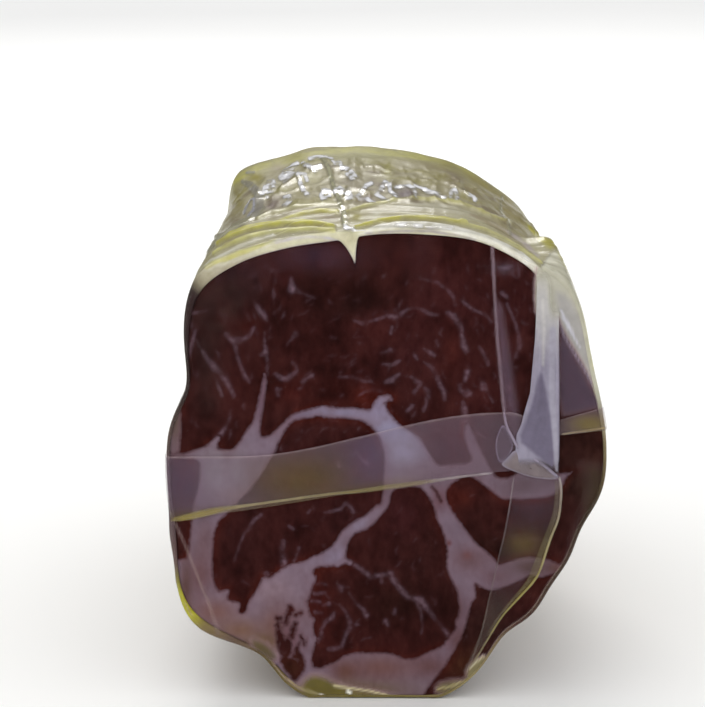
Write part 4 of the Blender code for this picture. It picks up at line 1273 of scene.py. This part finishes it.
def make_film_body(look):
    skin, angle, along, spots = body_skin(film_outside, 0.0, GATHER_HEIGHT)
    front = np.array([body_point(RING, y, inset - puff(RING, 0.0)) for y, inset in (
        (0.02, 1.1), (0.12, 0.65), (0.35, 0.35), (0.7, 0.12))])
    centre = body_point(0.0, 132.0, radius(0.0))
    turn = np.radians(RING)
    tuft = []
    for reach, y in TUFT:
        fold = reach * (1.0 + 0.16 * np.cos(turn * GATHER_FOLDS))
        tuft.append(np.stack([centre[0] + fold * np.cos(turn), np.full_like(turn, DOME_END - MIDDLE_Y + y),
                              centre[2] + fold * np.sin(turn)], axis=1))
    points = np.concatenate([front, skin, np.array(tuft)])
    angle = np.tile(RING, len(points))
    count = len(RING)
    along = np.concatenate([np.zeros((len(front), count)), along, np.full((len(TUFT), count), 134.0)]).ravel()
    spots = np.concatenate([pixels(front), spots, np.zeros((len(TUFT), count, 2))]).reshape(-1, 2)
    flat = points.reshape(-1, 3)
    share = top_share(angle, along)
    coat = Coat(len(flat), (206, 204, 190), 0.05, TOP_GAIN)
    coat.paint(share * smooth((thin_lines(angle, along) - 0.12) / 0.25) * 0.7, (210, 206, 160), 0.2)
    # Thin pale wrinkles of the film along the flanks, whitened as painted highlights.
    wrinkle_and_sheen = np.clip(1.0 - np.abs(drawn_out(flat, (1.0, 0.3, 1.0), 8.0, 3.3)) * 7.0, 0.0, 1.0)
    coat.paint(wrinkle_and_sheen * (1.0 - share) * smooth((along - 6.0) / 10.0) * 0.8, (216, 213, 202), 0.32)
    coat.paint(smooth((along - 118.0) / 14.0), (206, 204, 192), 0.45)
    shown = seen(angle, along) > 0.01
    weight, near = seen(angle, along)[shown], spots[shown]
    # The painted highlight strokes, which wet picks out, are widened and broken into glints by noise.
    broken = np.clip(0.8 + 1.1 * noise(flat[shown], 1.9, 4.0), 0.15, 1.0)
    for colour, veil, _, chain in FILM_STROKES:
        wet = colour == PAINTED_HIGHLIGHT
        line = stroke(near, chain, 1.6, 0.8 if wet else 0.0) * weight * (broken if wet else 1.0)
        coat.paint_shown(shown, line, colour, veil)
    coat.gain = 1.2
    lengthways = flat[shown] * np.array([1.0, 0.3, 1.0])
    pulled = smooth((44.0 - along[shown] + 10.0 * noise(lengthways, 7.0, 2.4)) / 24.0)
    pulled = pulled * smooth((angle[shown] - 11.0) / 12.0)
    pulled = pulled * (1.0 - 0.3 * np.clip(noise(lengthways, 4.0, 6.4), 0.0, 1.0))
    folds = np.zeros(len(flat))
    for outline, colour, veil, softness in FLANK_ZONES:
        zone = smooth(0.5 - outline_distance(near, outline) / (2.0 * softness)) * weight * pulled
        folds = np.maximum(folds, coat.paint_shown(shown, zone, colour, veil))
    folds[shown] *= np.clip(1.0 - np.abs(noise(lengthways, 6.0, 5.1)) * 5.0, 0.0, 1.0)
    folds[shown] *= smooth(along[shown] / 14.0 - 0.5)
    coat.paint(folds * 0.5, (152, 143, 122), 0.7)
    faces = tube_faces(len(points), count)
    make("clear_film", flat, faces, look, ["film"], coat.tint, {"veil": coat.veil})


# Zones of the film on the cut, as outlines of the photograph in pixels: colour, veil and softness.
FILM_ZONES = [
    ([(495, 300), (498, 340), (501, 376), (505, 410), (511, 437), (518, 450), (524, 440), (519, 415), (515, 390),
      (511, 360), (506, 330), (502, 305)], (190, 160, 190), 0.11, 5.0),
    ([(558, 315), (562, 325), (569, 338), (578, 352), (586, 366), (594, 382), (602, 398), (610, 418), (625, 400),
      (600, 330), (570, 250), (548, 236), (537, 262), (534, 290), (536, 320), (556, 322)],
     (184, 181, 164), 0.9, 3.0),
    ([(553, 290), (568, 296), (580, 316), (594, 350), (606, 392), (594, 384), (578, 354), (562, 328)],
     (162, 158, 154), 0.9, 5.0),
    ([(559, 326), (566, 340), (574, 355), (582, 370), (590, 386), (600, 400), (600, 408), (580, 412), (558, 416)],
     (99, 79, 101), 0.4, 4.0),
    ([(250, 638), (262, 641), (271, 647), (279, 657), (272, 664), (262, 656), (252, 649)],
     (90, 76, 38), 0.65, 5.0),
    ([(298, 692), (303, 680), (312, 674), (325, 676), (336, 683), (352, 688), (372, 691), (400, 698), (402, 710),
      (306, 710)], (98, 87, 24), 0.85, 6.0),
    ([(348, 691), (372, 694), (398, 700), (398, 710), (348, 710)], (118, 104, 54), 0.75, 5.0),
    ([(466, 670), (474, 660), (486, 655), (493, 662), (486, 674), (474, 682), (466, 682)],
     (152, 140, 98), 0.6, 3.5),
    ([(436, 684), (452, 680), (468, 680), (464, 688), (450, 695), (436, 695)], (128, 114, 74), 0.55, 4.0),
    ([(578, 460), (590, 480), (582, 510), (570, 545), (574, 565), (600, 525), (612, 470)],
     (112, 102, 80), 0.08, 8.0),
]
# Creases of the film on the cut, some of them carrying painted highlights, as points of the photograph with widths
# in pixels: colour, veil, height.
FILM_CREASES = [
    ([(170, 506, 1.6), (174, 521, 2), (187, 550, 2), (199, 580, 2.2), (209, 604, 2.6), (218, 633, 3)],
     (150, 132, 116), 0.3, 0.12),
    ([(176, 580, 1.6), (181, 600, 2.6), (190, 616, 2)], (156, 151, 44), 0.7, 0.1),
    ([(492.3, 247, 2.6), (493.9, 278, 2.2), (495.5, 311, 2), (497.7, 343, 2), (501, 376, 2), (503, 400, 2.2),
      (506, 425, 2.6), (511, 438, 3), (517, 446, 3)], (154, 136, 148), 0.45, 0.2),
    # A painted highlight streak along a raised crease.
    ([(561, 310, 1.6), (564, 318, 4), (569, 327, 4), (574, 337, 2.4), (580, 348, 1)],
     (202, 200, 208), 0.85, 0.3),
    ([(558, 322, 2), (566, 340, 2.4), (575, 355, 2.4), (584, 370, 2), (594, 388, 2)],
     (156, 140, 160), 0.5, 0.2),
    # A painted highlight line along the bottom edge.
    ([(334, 686, 2), (345, 687.5, 2.2), (370, 691, 2.2), (393, 697, 2)], (214, 204, 158), 0.8, 0.2),
    ([(260, 655, 1.6), (270, 663, 2.2), (282, 677, 2.2), (304, 690, 2.2), (321, 696, 2)],
     (170, 158, 112), 0.7, 0.2),
    # The next two are painted white highlights at the bottom edge.
    ([(321, 695.5, 3), (323, 696.5, 3)], (240, 236, 226), 0.95, 0.2),
    ([(348, 691.5, 3.4), (350, 693, 3.4)], (246, 244, 232), 0.95, 0.2),
    ([(470, 668, 2.4), (476, 662, 2.4), (484, 656, 2)], (206, 198, 164), 0.75, 0.2),
    ([(437, 689, 2), (450, 687, 2.4), (464, 681, 2)], (190, 178, 130), 0.6, 0.2),
    ([(196, 455, 1.4), (230, 452, 1.4)], (150, 128, 130), 0.1, 0.0),
]
FRONT_COUNT = 230


def make_film_front(look):
    angle, share, reach, x, z = face_disc(FRONT_COUNT, lambda turn, part: 1.1 - puff(turn, 0.0) * part ** 12)
    solid = place(x, 0.0, z)
    spots = pixels(solid)
    coat = Coat(len(x), (200, 160, 170), 0.001, 1.3)
    # Faint painted reflections in the film over the cut: a lilac sheen along the top and a greenish one on the left.
    coat.paint(spot_weight(spots, 318, 256, 54, 16) * 0.9, (180, 150, 200), 0.04)
    mottle = np.clip(0.7 + 0.9 * noise(solid, 1.8, 6.6), 0.0, 1.6)
    coat.paint(spot_weight(spots, 222, 308, 34, 44) * 0.6 * mottle, (150, 170, 145), 0.03)
    coat.paint(spot_weight(spots, 210, 385, 16, 30) * 0.5 * mottle, (150, 170, 145), 0.02)
    coat.paint(spot_weight(spots, 245, 272, 30, 12) * 0.6, (180, 150, 180), 0.03)
    coat.paint(spot_weight(spots, 420, 250, 14, 30) * 0.8, (190, 140, 160), 0.02)
    coat.paint(spot_weight(spots, 505, 268, 14, 6), (180, 170, 200), 0.07)
    height = 0.12 * noise(solid, 16.0, 5.5)
    for outline, colour, veil, softness in FILM_ZONES:
        coat.paint(smooth(0.5 - outline_distance(spots, outline) / (2.0 * softness)), colour, veil)
    for chain, colour, veil, rise in FILM_CREASES:
        weight = stroke(spots, chain, 2.2)
        coat.paint(weight, colour, veil)
        height = height + rise * weight
    edge = (1.0 - share) * reach
    coat.paint(smooth((0.45 - edge) / 0.3) * hill(angle, 320.0, 26.0) * 0.9, (160, 150, 108), 0.5)
    height = height * smooth(edge / 2.0)
    points = place(x, 0.15 - height, z)
    make("face_film", points, disc_faces(FRONT_COUNT), look, ["film"], coat.tint, {"veil": coat.veil})


# The overlap and the pleat.


def side_x(z, side):
    """How far the wrapped outline reaches to one side at a height above the face's centre."""
    angles = np.linspace(-60.0, 60.0, 721) if side > 0 else np.linspace(240.0, 120.0, 721)
    reach = radius(angles % 360.0)
    heights = reach * np.sin(np.radians(angles))
    return np.interp(z, heights, reach * np.cos(np.radians(angles)))


def band_edges(x):
    """Heights of the overlap's two edges where it crosses the face."""
    top = 3.0 + 10.4 * smooth((x + 34.0) / 60.0)
    bottom = -12.3 + 12.6 * smooth((x + 62.0) / 104.0)
    ease = smooth((x - 28.0) / 10.0)
    bottom = bottom + ease * (8.4 - bottom + 0.12 * (x - 42.0))
    top = top + ease * (12.6 - top + 0.3 * (x - 42.0))
    return top, bottom


# How the overlap turns round an edge of the face, in millimetres: inset, place along the part, stand-off.
BAND_TURN = [
    (0.0, 9.0, 0.1), (0.0, 6.0, 0.12), (0.0, 3.0, 0.15), (0.0, 1.3, 0.15), (0.2, 0.5, 0.1), (0.35, 0.2, 0.1),
    (0.7, -0.2, 0.1),
]


def make_band(look):
    """The strip where the film overlaps itself, across the face and round both its edges."""
    across = np.linspace(0.0, 1.0, 41)
    columns = []
    for side in (-1, 1):
        edges = band_edges(side * 48.0)
        z = edges[1] + (edges[0] - edges[1]) * across
        reach = np.abs(side_x(z, side))
        turn = [place(side * (reach - inset + out), y - 0.15, z) for inset, y, out in BAND_TURN]
        columns.append(turn if side < 0 else turn[::-1])
    start = side_x(band_edges(-48.0)[0], -1) + 0.9
    end = side_x(band_edges(48.0)[0], 1) - 0.9
    middle = []
    for x in np.linspace(start, end, 260):
        top, bottom = band_edges(x)
        z = bottom + (top - bottom) * across
        flat = place(np.full_like(z, x), 0.0, z)
        swell = 0.1 * np.sin(across * math.pi) + 0.06 * noise(flat, 9.0, 2.0)
        middle.append(place(np.full_like(z, x), -0.45 - swell, z))
    points = np.array(columns[0] + middle + columns[1])
    rows = len(points)
    flat = points.reshape(-1, 3)
    spots = pixels(flat)
    share = np.tile(across, rows)
    left = smooth((440.0 - spots[:, 0]) / 60.0)
    coat = Coat(len(flat), (118, 96, 110), 0.34, 1.25)
    coat.paint(spot_weight(spots, 302, 480, 54, 26), (125, 102, 62))
    coat.paint(spot_weight(spots, 372, 455, 24, 30) * 0.9, (119, 95, 127))
    coat.paint(spot_weight(spots, 186, 480, 24, 26), (115, 91, 116))
    coat.paint(spot_weight(spots, 450, 445, 34, 26), (121, 90, 107))
    coat.paint(spot_weight(spots, 222, 478, 22, 24) + spot_weight(spots, 402, 452, 20, 24), (142, 124, 142))
    coat.paint(spot_weight(spots, 590, 424, 22, 10), (140, 122, 66), 0.5)
    glint = stroke(spots, [(560, 416, 5), (566, 409, 6), (578, 403.5, 6), (602, 401, 6)], 4.0)
    coat.paint(glint, (150, 128, 150), 0.4)
    coat.paint(smooth((0.2 - share) / 0.2) * 0.6 * left, (126, 109, 60))
    coat.paint(smooth((share - 0.962) / 0.025), (176, 152, 157), 0.36)
    behind_face = flat[:, 1] + MIDDLE_Y
    coat.veil = coat.veil * (1.0 - 0.85 * smooth((behind_face - 0.5) / 6.5))
    make("film_overlap", points, sheet_faces(rows, len(across)), look, ["film_band"],
         coat.tint, {"veil": coat.veil})


def smooth_path(values, count):
    """Points read from a smooth curve through the given ones."""
    values = np.asarray(values, float)
    spots = np.linspace(0.0, len(values) - 1.0, count)
    first = np.clip(np.floor(spots).astype(int), 0, len(values) - 2)
    share = (spots - first)[:, None]
    before = values[np.maximum(first - 1, 0)]
    one, two = values[first], values[first + 1]
    after = values[np.minimum(first + 2, len(values) - 1)]
    square = 2.0 * before - 5.0 * one + 4.0 * two - after
    cube = 3.0 * one - before - 3.0 * two + after
    return 0.5 * (2.0 * one + (two - before) * share + square * share ** 2 + cube * share ** 3)


def face_bead(name, node, count, base, flat, chain, tones, look):
    """A rounded line of film on the face, which stands on the plane base."""
    around = 9
    path = smooth_path([(*face_spot(px, py), width * PIXEL / 2.0) for px, py, width in chain], count)
    ahead = np.gradient(path[:, :2], axis=0)
    ahead /= np.linalg.norm(ahead, axis=1)[:, None]
    side = np.stack([-ahead[:, 1], ahead[:, 0]], axis=1)
    turns = np.linspace(0.0, math.pi, around)
    rows = []
    for (x, z, half), (sx, sz) in zip(path, side):
        away = np.cos(turns) * half
        out = np.sin(turns) * half * flat
        rows.append(place(x + sx * away, base - out, z + sz * away))
    points = np.array(rows)
    steps, colours, veils = zip(*tones)
    along = np.linspace(0.0, 1.0, count)
    tint = np.stack([np.interp(along, steps, values) for values in linear(colours).T], axis=-1)
    veil = np.interp(along, steps, veils)
    lift = np.sin(turns)[None, :]
    cloud = 1.0 - 0.35 * np.clip(noise(points, 4.0, 2.0), 0.0, 1.0)
    veil = veil[:, None] * (0.35 + 0.65 * lift) * cloud
    ends = smooth(np.minimum(np.arange(count), np.arange(count)[::-1]) / 6.0)[:, None]
    tint = np.repeat(tint, around, axis=0)
    make(name, points, sheet_faces(count, around), look, [node], tint, {"veil": veil * ends})


# The pleat's two edges, its darker hollow, and the folds in it, all in pixels of the photograph.
PLEAT_LEFT = [
    (535, 250), (536, 268), (537, 280), (536.5, 309), (535, 340), (533, 361), (530, 393), (525.5, 408),
    (521, 425), (516.6, 434.5), (515.5, 450), (515, 472), (505, 528), (497, 562), (490, 592), (481, 631),
    (468, 662), (450, 690),
]
PLEAT_RIGHT = [
    (552, 250), (555, 268), (557.5, 290), (559, 320), (559.5, 380), (559.5, 440), (558.8, 470), (560, 496),
    (557.5, 516), (549, 538), (539, 567), (532, 580), (520, 594), (502, 614), (490, 634), (478, 656),
    (462, 680), (458, 690),
]
PLEAT_HOLLOW = [
    (539, 372), (533, 400), (526, 420), (518, 440), (530, 450), (545, 462), (555, 470), (554, 440), (549, 405),
    (543, 375),
]
PLEAT_STROKES = [
    ([(536, 330, 2), (533, 361, 3), (530, 390, 4), (524, 412, 4.5), (516, 434, 4)], 3.0, 0.6, (152, 144, 160), 0.84),
    ([(553, 330, 7), (552, 390, 6), (554, 425, 5), (557, 470, 4)], 3.0, 0.7, (160, 156, 170), 0.88),
    ([(543, 300, 3), (544, 330, 3), (543, 365, 2)], 4.0, 0.6, (194, 190, 186), 0.9),
]


def pleat_edges(z):
    """Left and right edge of the gathered pleat at a height above the face's centre."""
    edges = []
    for chain in (PLEAT_LEFT, PLEAT_RIGHT):
        spots = face_spot(*np.array(chain, float).T, -1.0)[::-1]
        edges.append(np.interp(z, spots[:, 1], spots[:, 0]))
    return edges[0], edges[1]


def make_pleat(look):
    """The gathered fold of film down the right of the face, with its doubled lower part."""
    rows, columns = 240, 49
    heights = np.linspace(46.5, -48.5, rows)
    share = np.linspace(0.0, 1.0, columns)
    profile = np.interp(share, [0.0, 0.08, 0.22, 0.45, 0.68, 0.86, 0.96, 1.0],
                        [0.1, 0.7, 0.9, 0.6, 1.0, 1.9, 1.5, 0.4])
    z = np.repeat(heights, columns)
    across = np.tile(share, rows)
    left, right = pleat_edges(z)
    x = left + (right - left) * across
    flat = 1.0 - 0.75 * smooth((0.0 - z) / 10.0)
    sunk = 1.0 - 0.92 * smooth((z - 25.0) / 11.0)
    lift = np.tile(profile, rows) * flat * sunk
    ripple = 0.16 * np.sin(across * 19.0 + 0.12 * z) * smooth((z + 2.0) / 10.0) * sunk
    points = place(x, -0.7 - lift - ripple - 0.1 * (1.0 - flat) * np.sin(across * 3.1), z)
    spots = pixels(points)
    upper = smooth((z - 0.5) / 3.0)
    coat = Coat(len(x), (100, 86, 94), 0.1, 1.3)
    coat.paint(upper, (146, 140, 158), 0.84)
    coat.paint(smooth((375.0 - spots[:, 1]) / 70.0), (174, 171, 171), 0.92)
    coat.paint(smooth(0.5 - outline_distance(spots, PLEAT_HOLLOW) / 5.0), (106, 98, 120), 0.8)
    for chain, soft, strength, colour, veil in PLEAT_STROKES:
        coat.paint(stroke(spots, chain, soft) * strength, colour, veil)
    coat.paint(smooth((330.0 - spots[:, 1]) / 50.0) * smooth((across - 0.3) / 0.5), (186, 183, 170), 0.9)
    coat.paint(smooth((324.0 - spots[:, 1]) / 24.0) * smooth((across - 0.45) / 0.35), (186, 183, 170), 0.0)
    coat.paint(smooth((306.0 - spots[:, 1]) / 40.0) * 0.8, (188, 185, 170))
    coat.paint(smooth((286.0 - spots[:, 1]) / 18.0), (188, 185, 170), 0.0)
    lower = 1.0 - upper
    coat.paint(lower * spot_weight(spots, 535, 507, 26, 16), (108, 94, 114), 0.14)
    coat.paint(lower * spot_weight(spots, 524, 544, 20, 14), (146, 128, 76), 0.2)
    coat.paint(lower * smooth((spots[:, 1] - 585.0) / 30.0), (150, 140, 130), 0.08)
    make("film_gather", points, sheet_faces(rows, columns), look, ["film_pleat"], coat.tint,
         {"veil": coat.veil})


def face_patch(name, plane, rise, outline, colour, veil, edge_colour, edge_veil, look):
    """A small fold of film on the face, which stands on a plane."""
    corners = face_spot(*soften(outline, 2).T)
    centre = corners.mean(axis=0)
    rings = np.linspace(1.0, 0.04, 26)
    spots = np.array([centre + (corners - centre) * ring for ring in rings])
    lift = rise * (1.0 - rings ** 4)
    points = place(spots[..., 0], plane - lift[:, None], spots[..., 1])
    flat = points.reshape(-1, 3)
    edge = np.repeat(hill(rings, 1.0, 0.13), len(corners))
    coat = Coat(len(flat), colour, veil)
    coat.paint(0.4 * np.clip(noise(flat, 3.5, 4.0), 0.0, 1.0), edge_colour)
    coat.paint(edge, edge_colour, edge_veil)
    faces = tube_faces(len(rings), len(corners))
    make(name, points, faces, look, ["film_pleat"], coat.tint, {"veil": coat.veil})


# Raised lines of film on the face: name, node, steps along it, plane in millimetres, height over half width,
# points of the photograph with widths in pixels, and its tones: how far along, colour and veil.
BEADS = [
    ("overlap_hem", "film_band", 220, -0.35, 0.5,
     [(169.5, 518.6, 3), (180, 517, 6), (195, 514, 8), (212, 510, 8), (230, 506.5, 5.5), (250, 503.5, 3.6),
      (275, 500, 3.4), (300, 496.5, 3.2), (330, 492.5, 3.4), (360, 489.5, 4.6), (385, 486, 5.4),
      (405, 483.5, 5.4), (425, 480.5, 4.6), (445, 477.5, 3.6), (470, 474, 3.2), (494, 471.5, 3)],
     [(0.0, (120, 104, 66), 0.5), (0.08, (160, 144, 74), 0.75), (0.22, (150, 134, 76), 0.7),
      (0.3, (160, 146, 110), 0.75), (0.5, (158, 146, 112), 0.75), (0.6, (146, 132, 86), 0.65),
      (0.78, (140, 124, 84), 0.6), (0.85, (156, 142, 140), 0.75), (1.0, (166, 152, 158), 0.8)]),
    ("overlap_hem_right", "film_band", 60, -0.35, 0.5,
     [(560, 433, 2.4), (570, 431.5, 2.8), (582, 430, 2.6), (595, 428, 2.6), (607, 426, 2.2)],
     [(0.0, (156, 140, 116), 0.8), (1.0, (170, 152, 110), 0.85)]),
    ("gather_glow", "film_pleat", 120, -0.5, 0.2,
     [(557, 476, 7), (558, 496, 8), (555, 516, 8), (547, 538, 9), (537, 564, 9), (529, 580, 7), (517, 594, 5),
      (500, 614, 4), (486, 636, 4)],
     [(0.0, (130, 112, 96), 0.4), (0.4, (120, 108, 58), 0.45), (0.7, (126, 112, 52), 0.5),
      (1.0, (120, 104, 80), 0.3)]),
    ("gather_edge", "film_pleat", 160, -0.8, 0.5,
     [(558.5, 474, 2.6), (560.5, 484, 2.8), (560.5, 496, 2.8), (558, 516, 2.6), (549.5, 538, 2.6),
      (540, 567, 2.8), (532.5, 580, 2.8), (520, 594, 2.4), (502, 614, 2.2), (488, 636, 2.2), (474.6, 658, 2),
      (466, 668, 2)],
     [(0.0, (170, 158, 158), 0.85), (0.2, (160, 146, 130), 0.85), (0.5, (166, 154, 92), 0.9),
      (0.65, (160, 148, 84), 0.85), (1.0, (140, 126, 104), 0.6)]),
    ("gather_crease", "film_pleat", 80, -1.2, 0.5,
     [(503, 405, 2.4), (506, 422, 2.8), (511, 433, 3), (519, 446, 3.4), (532, 455, 3.6), (544, 463, 3.6),
      (552, 470, 3.6), (558, 475, 3)],
     [(0.0, (150, 130, 150), 0.6), (0.3, (160, 148, 168), 0.85), (1.0, (166, 156, 176), 0.9)]),
    ("gather_left", "film_pleat", 90, -0.8, 0.5,
     [(514, 472, 2), (510, 500, 2), (505, 528, 2), (497, 562, 2), (490, 592, 2), (481, 631, 2), (470, 662, 2)],
     [(0.0, (150, 136, 140), 0.5), (0.5, (110, 92, 90), 0.3), (1.0, (130, 114, 96), 0.35)]),
]
# Small folds of film on the face: name, plane and rise in millimetres, outline in the photograph's pixels,
# and the colour and veil of the middle and of the edge.
PATCHES = [
    ("gather_diamond", -0.75, 0.35,
     [(503, 421), (498, 430), (495, 441), (496, 452), (499, 462), (506, 458), (514, 445), (509, 433)],
     (118, 98, 116), 0.42, (152, 138, 160), 0.62),
    ("gather_tuck", -0.95, 0.5,
     [(515, 446), (507, 456), (499, 463), (516, 470), (530, 475), (545, 477), (557, 477), (558, 473),
      (546, 465), (532, 456)],
     (136, 122, 124), 0.82, (152, 142, 158), 0.88),
]


# The studio, in metres: half the floor's side, the key light, and the name, power, width and lean of the others.
FLOOR = 6.0
KEY_PLACE = Vector((-0.12, 0.95, 0.70))
KEY_AIM = Vector((0.0, 0.0, 0.06))
KEY_SIZE = (0.42, 0.30)
KEY_POWER = 4.0
KEY_COLOUR = (1.0, 0.98, 0.94)
SKIES = [("overhead", 2.0, 130.0, 0.0), ("front", 1.0, 175.0, 60.0)]
# The width of the camera's sensor, in millimetres.
SENSOR = 36.0


def plain_look(name, colour, rough):
    look, tree, output, spot = new_look(name)
    cloud = texture(tree, spot, 220.0, 2.0, 0.5)
    shade = mix(tree, span(tree, cloud, 0.3, 0.7), (*[c * 0.985 for c in colour], 1.0), (*colour, 1.0))
    shader = add(tree, "BsdfPrincipled", None, Base_Color=shade, Roughness=rough, Specular_IOR_Level=0.2)
    tree.links.new(shader.outputs[0], output.inputs[0])
    return look


def make_floor():
    mesh = bpy.data.meshes.new("floor")
    corners = [(-FLOOR, -FLOOR, 0.0), (FLOOR, -FLOOR, 0.0), (FLOOR, FLOOR, 0.0), (-FLOOR, FLOOR, 0.0)]
    mesh.from_pydata(corners, [], [(0, 1, 2, 3)])
    mesh.materials.append(plain_look("pale floor", (0.95, 0.95, 0.94), 0.7))
    floor = add_object("floor", mesh)


def make_studio():
    """One warm key light from behind, two wide soft ones, and a plain backdrop that hardly lights the part."""
    scene = bpy.context.scene
    world = bpy.data.worlds.new("studio")
    world.use_nodes = True
    tree = world.node_tree
    tree.nodes.clear()
    backdrop = add(tree, "Background", None, Color=(1.0, 1.0, 1.0, 1.0), Strength=1.05).outputs[0]
    soft = add(tree, "Background", None, Color=(0.95, 0.96, 1.0, 1.0), Strength=0.1).outputs[0]
    looked_at = add(tree, "LightPath").outputs["Is Camera Ray"]
    output = add(tree, "OutputWorld")
    tree.links.new(mix_shaders(tree, looked_at, soft, backdrop), output.inputs[0])
    scene.world = world
    data = bpy.data.lights.new("key", "AREA")
    data.shape = "RECTANGLE"
    data.size, data.size_y = KEY_SIZE
    data.energy = KEY_POWER
    data.color = KEY_COLOUR
    key = add_object("key", data)
    key.location = KEY_PLACE
    key.rotation_euler = (KEY_AIM - KEY_PLACE).to_track_quat("-Z", "Y").to_euler()
    for name, energy, wide, lean in SKIES:
        sky = bpy.data.lights.new(name, "SUN")
        sky.energy = energy
        sky.angle = math.radians(wide)
        add_object(name, sky).rotation_euler = (math.radians(lean), 0.0, 0.0)
    scene.view_settings.view_transform = "Standard"
    scene.view_settings.look = "None"
    scene.view_settings.exposure = 0.0
    scene.view_settings.gamma = 1.0
    data = bpy.data.cameras.new("camera")
    data.sensor_fit = "HORIZONTAL"
    data.sensor_width = SENSOR
    data.lens = FOCAL * SENSOR / FRAME_WIDTH
    data.clip_start = 0.02
    camera = add_object("camera", data)
    camera.matrix_world = Matrix.Translation(Vector(EYE * MM)) @ CAMERA_TURN
    scene.camera = camera


def main():
    make_studio()
    make_floor()
    make_meat()
    make_casing()
    clear = film_look("clear film", 0.1, 3.0, 0.0002)
    milky = film_look("folded film", 0.24, 2.2, 0.0001)
    make_film_body(clear)
    make_film_front(clear)
    make_band(milky)
    make_pleat(milky)
    for bead in BEADS:
        face_bead(*bead, milky)
    for patch in PATCHES:
        face_patch(*patch, milky)


main()
